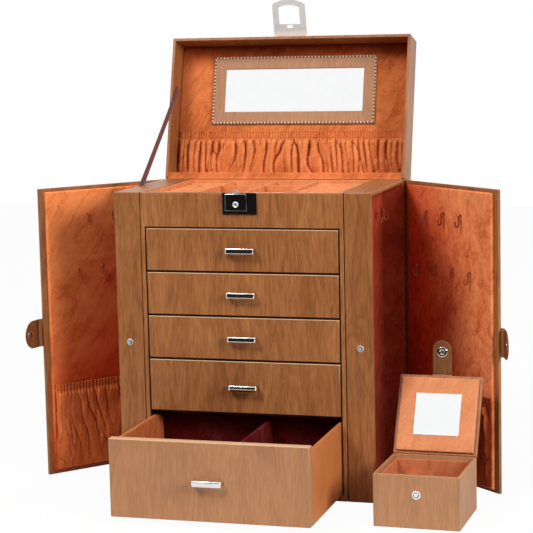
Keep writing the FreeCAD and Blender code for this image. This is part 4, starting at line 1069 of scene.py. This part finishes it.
def snap_strap(node, frame_of, body, width, length, snap, ring):
    """A strap with its snap: the socket on the inner face and the cap on the outer one."""
    half = width / 2
    outline = tab_outline(half, half - length, -STRAP_THICK / 2 - 0.00015)
    tab = slab(f"{node}_tab", outline, STRAP_THICK, 0.00045, frame_of, strap_leather)
    fit(tab, body, node)
    socket = [(0.0012, -0.0001), (0.0013, 0.00008), (0.0021, 0.0001), (0.0024, 0.00032),
              (ring * 0.62, RING_THICK), (ring * 0.8, 0.00028), (ring * 0.93, 0.00038),
              (ring, 0.0002), (ring, -0.00005)]
    cap = [(0.00001, 0.0011), (ring * 0.35, 0.00105), (ring * 0.7, 0.0008),
           (ring * 0.93, 0.0004), (ring, 0.0001), (ring, -0.00005)]
    # Painted shade: the socket's middle is dark, as a hole.
    for part, out, profile, dark_reach in (("socket", -1, socket, 0.0019), ("cap", 1, cap, 0.0)):
        made = lathed(f"{node}_{part}", profile,
                      frame_of @ Vector((0, -snap, out * STRAP_THICK / 2)),
                      direction(frame_of, 0, 0, out), chrome, dark_reach)
        fit(made, body)


def straps():
    for name, side in SIDES.items():
        place = (moved(*joint_point(f"{name}_strap_fold")) @ DOORS[name].to_3x3().to_4x4()
                 @ turned(-side * 30, "Z") @ turned(90 * side, "Y"))
        snap_strap(f"{name}_door_strap", place, f"{name}_strap", width=0.032, length=0.028,
                   snap=0.0188, ring=0.0046)
    place = (moved(*joint_point("case_strap_fold")) @ CASE_LID.to_3x3().to_4x4()
             @ turned(26.5, "X"))
    snap_strap("case_strap", place, "case_strap", width=0.021, length=0.038, snap=0.0252,
               ring=0.0056)


straps()


def lock_face():
    """The bright rim of the lock's cylinder, and its keyway, painted dark as shade."""
    low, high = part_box("lock_cylinder")
    middle = Vector(((low.x + high.x) / 2, low.y, (low.z + high.z) / 2))
    radius = (high.x - low.x) / 2
    profile = [(0.30, -0.0002), (0.34, -0.00005), (0.52, 0.0001), (0.62, 0.00045),
               (0.78, 0.0006), (0.93, 0.00045), (1, 0.0001), (1, -0.0004)]
    made = lathed("lock_cylinder_rim", [(radius * share, height) for share, height in profile],
                  middle, Vector((0, -1, 0)), satin_steel, radius * 0.50)
    fit(made, "lock_cylinder")


lock_face()


def bar_line(half, reach, bend):
    """The outer line of a bent bar, from foot to foot: x, y and the way out of the bar."""
    line = [(-half, 0.0, -1.0, 0.0), (-half, bend - reach, -1.0, 0.0)]
    for step in range(1, 9):
        angle = math.pi / 2 * step / 8
        line.append((-half + bend * (1 - math.cos(angle)), bend - reach - bend * math.sin(angle),
                     -math.cos(angle), -math.sin(angle)))
    return line + [(-x, y, -nx, ny) for x, y, nx, ny in reversed(line)]


def pulls():
    """Bent bars with a rounded front, one on each drawer."""
    thick, tall, roundness = 0.002, 0.0032, 0.42
    section = []
    for turn in (math.pi * k / 18 for k in range(19)):
        rise = math.copysign(abs(math.cos(turn)) ** roundness, math.cos(turn))
        section.append((thick * 0.93 * (1 - abs(math.sin(turn)) ** roundness), tall * rise))
    section += [(thick, -tall * 0.9), (thick, tall * 0.9)]
    line = bar_line(half=0.0165, reach=0.009, bend=0.003)
    for number in range(1, 6):
        low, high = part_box(f"drawer_{number}_pull")
        middle = (low.z + high.z) / 2
        points = [Vector((x - nx * inset, high.y + y - ny * inset, middle + rise))
                  for x, y, nx, ny in line for inset, rise in section]
        made = outward(piece(f"drawer_{number}_bar", points,
                             tube_faces(len(section), len(line)), chrome))
        fit(made, f"drawer_{number}", f"drawer_{number}_pull")


pulls()


def studio():
    azimuth, elevation, roll = 16.499, 7.702, -1.2975
    sensor, focal_pixels, photo_pixels = 36, 1798.65, 533
    camera = linked("camera", bpy.data.cameras.new("camera"))
    camera.matrix_world = (moved(0.5747, -1.9288, 0.5164) @ turned(azimuth, "Z")
                           @ turned(90 - elevation, "X") @ turned(roll, "Z"))
    camera.data.sensor_width, camera.data.lens = sensor, sensor * focal_pixels / photo_pixels
    camera.data.clip_start, camera.data.clip_end = 0.05, 50
    scene.camera = camera
    floor = piece("floor", [(-2.2, -0.62, 0), (2.2, -0.62, 0), (2.2, 3, 0), (-2.2, 3, 0)],
                  [(0, 1, 2, 3)], floor_finish())
    lamp("left_softbox", (-1.25, -1.7, 2.35), (0, 0, 0.2), 0.9, 60)
    lamp("right_softbox", (2.3, -1.2, 1.25), (0, 0, 0.15), 0.9, 56)
    sky()
    scene.view_settings.view_transform = "Standard"


def lamp(name, place, aim, side, power):
    light = bpy.data.lights.new(name, "AREA")
    light.shape, light.size, light.energy = "SQUARE", side, power
    made = linked(name, light)
    made.location = place
    made.rotation_euler = (Vector(aim) - Vector(place)).to_track_quat("-Z", "Y").to_euler()


def floor_finish():
    """A white floor that keeps a faint shadow and reads as the white background."""
    f = Finish("floor_white")
    seen = f.node("ShaderNodeLightPath", output="Is Camera Ray")
    cloud = f.noise(f.place(), 3, 2)
    base = f.ramp(cloud, (0.3, (0.66, 0.65, 0.64)), (0.7, (0.69, 0.68, 0.67)))
    lit = f.node("ShaderNodeBsdfDiffuse", None, {"Color": base})
    plain = f.node("ShaderNodeEmission", None, {"Color": colour(1, 1, 1), "Strength": 1.0})
    mixed = f.node("ShaderNodeMixShader", None, {0: seen * 0.96, 1: lit, 2: plain})
    f.node("ShaderNodeOutputMaterial", None, {"Surface": mixed})
    return f.owner


def sky():
    """A white room that is dark low down on the side of the drawers."""
    scene.world = bpy.data.worlds.new("room")
    f = Finish("room", scene.world)
    way = f.node("ShaderNodeTexCoord", output="Generated")
    height = f.dot(way, (0, 0, 1))
    front = f.dot(way, (0.27, -0.96, 0))
    low = f.ramp(height, (0.14, (0, 0, 0)), (0.26, (1, 1, 1)))
    ahead = f.ramp(front, (0.1, (1, 1, 1)), (0.5, (0, 0, 0)))
    open_sky = f.math("MAXIMUM", low, ahead)
    mirrored = f.node("ShaderNodeLightPath", output="Is Glossy Ray")
    soft = f.ramp(height, (0.0, (0.10, 0.095, 0.09)), (0.35, (0.22, 0.22, 0.22)),
                  (0.9, (0.62, 0.62, 0.62)))
    bright = f.blend(mirrored, soft, colour(0.98, 0.98, 0.98))
    room = f.blend(open_sky, colour(0.02, 0.018, 0.016), bright)
    seen = f.node("ShaderNodeLightPath", output="Is Camera Ray")
    shown = f.blend(seen, room, colour(1, 1, 1))
    background = f.node("ShaderNodeBackground", None, {"Color": shown, "Strength": 1.0})
    f.node("ShaderNodeOutputWorld", None, {"Surface": background})


studio()
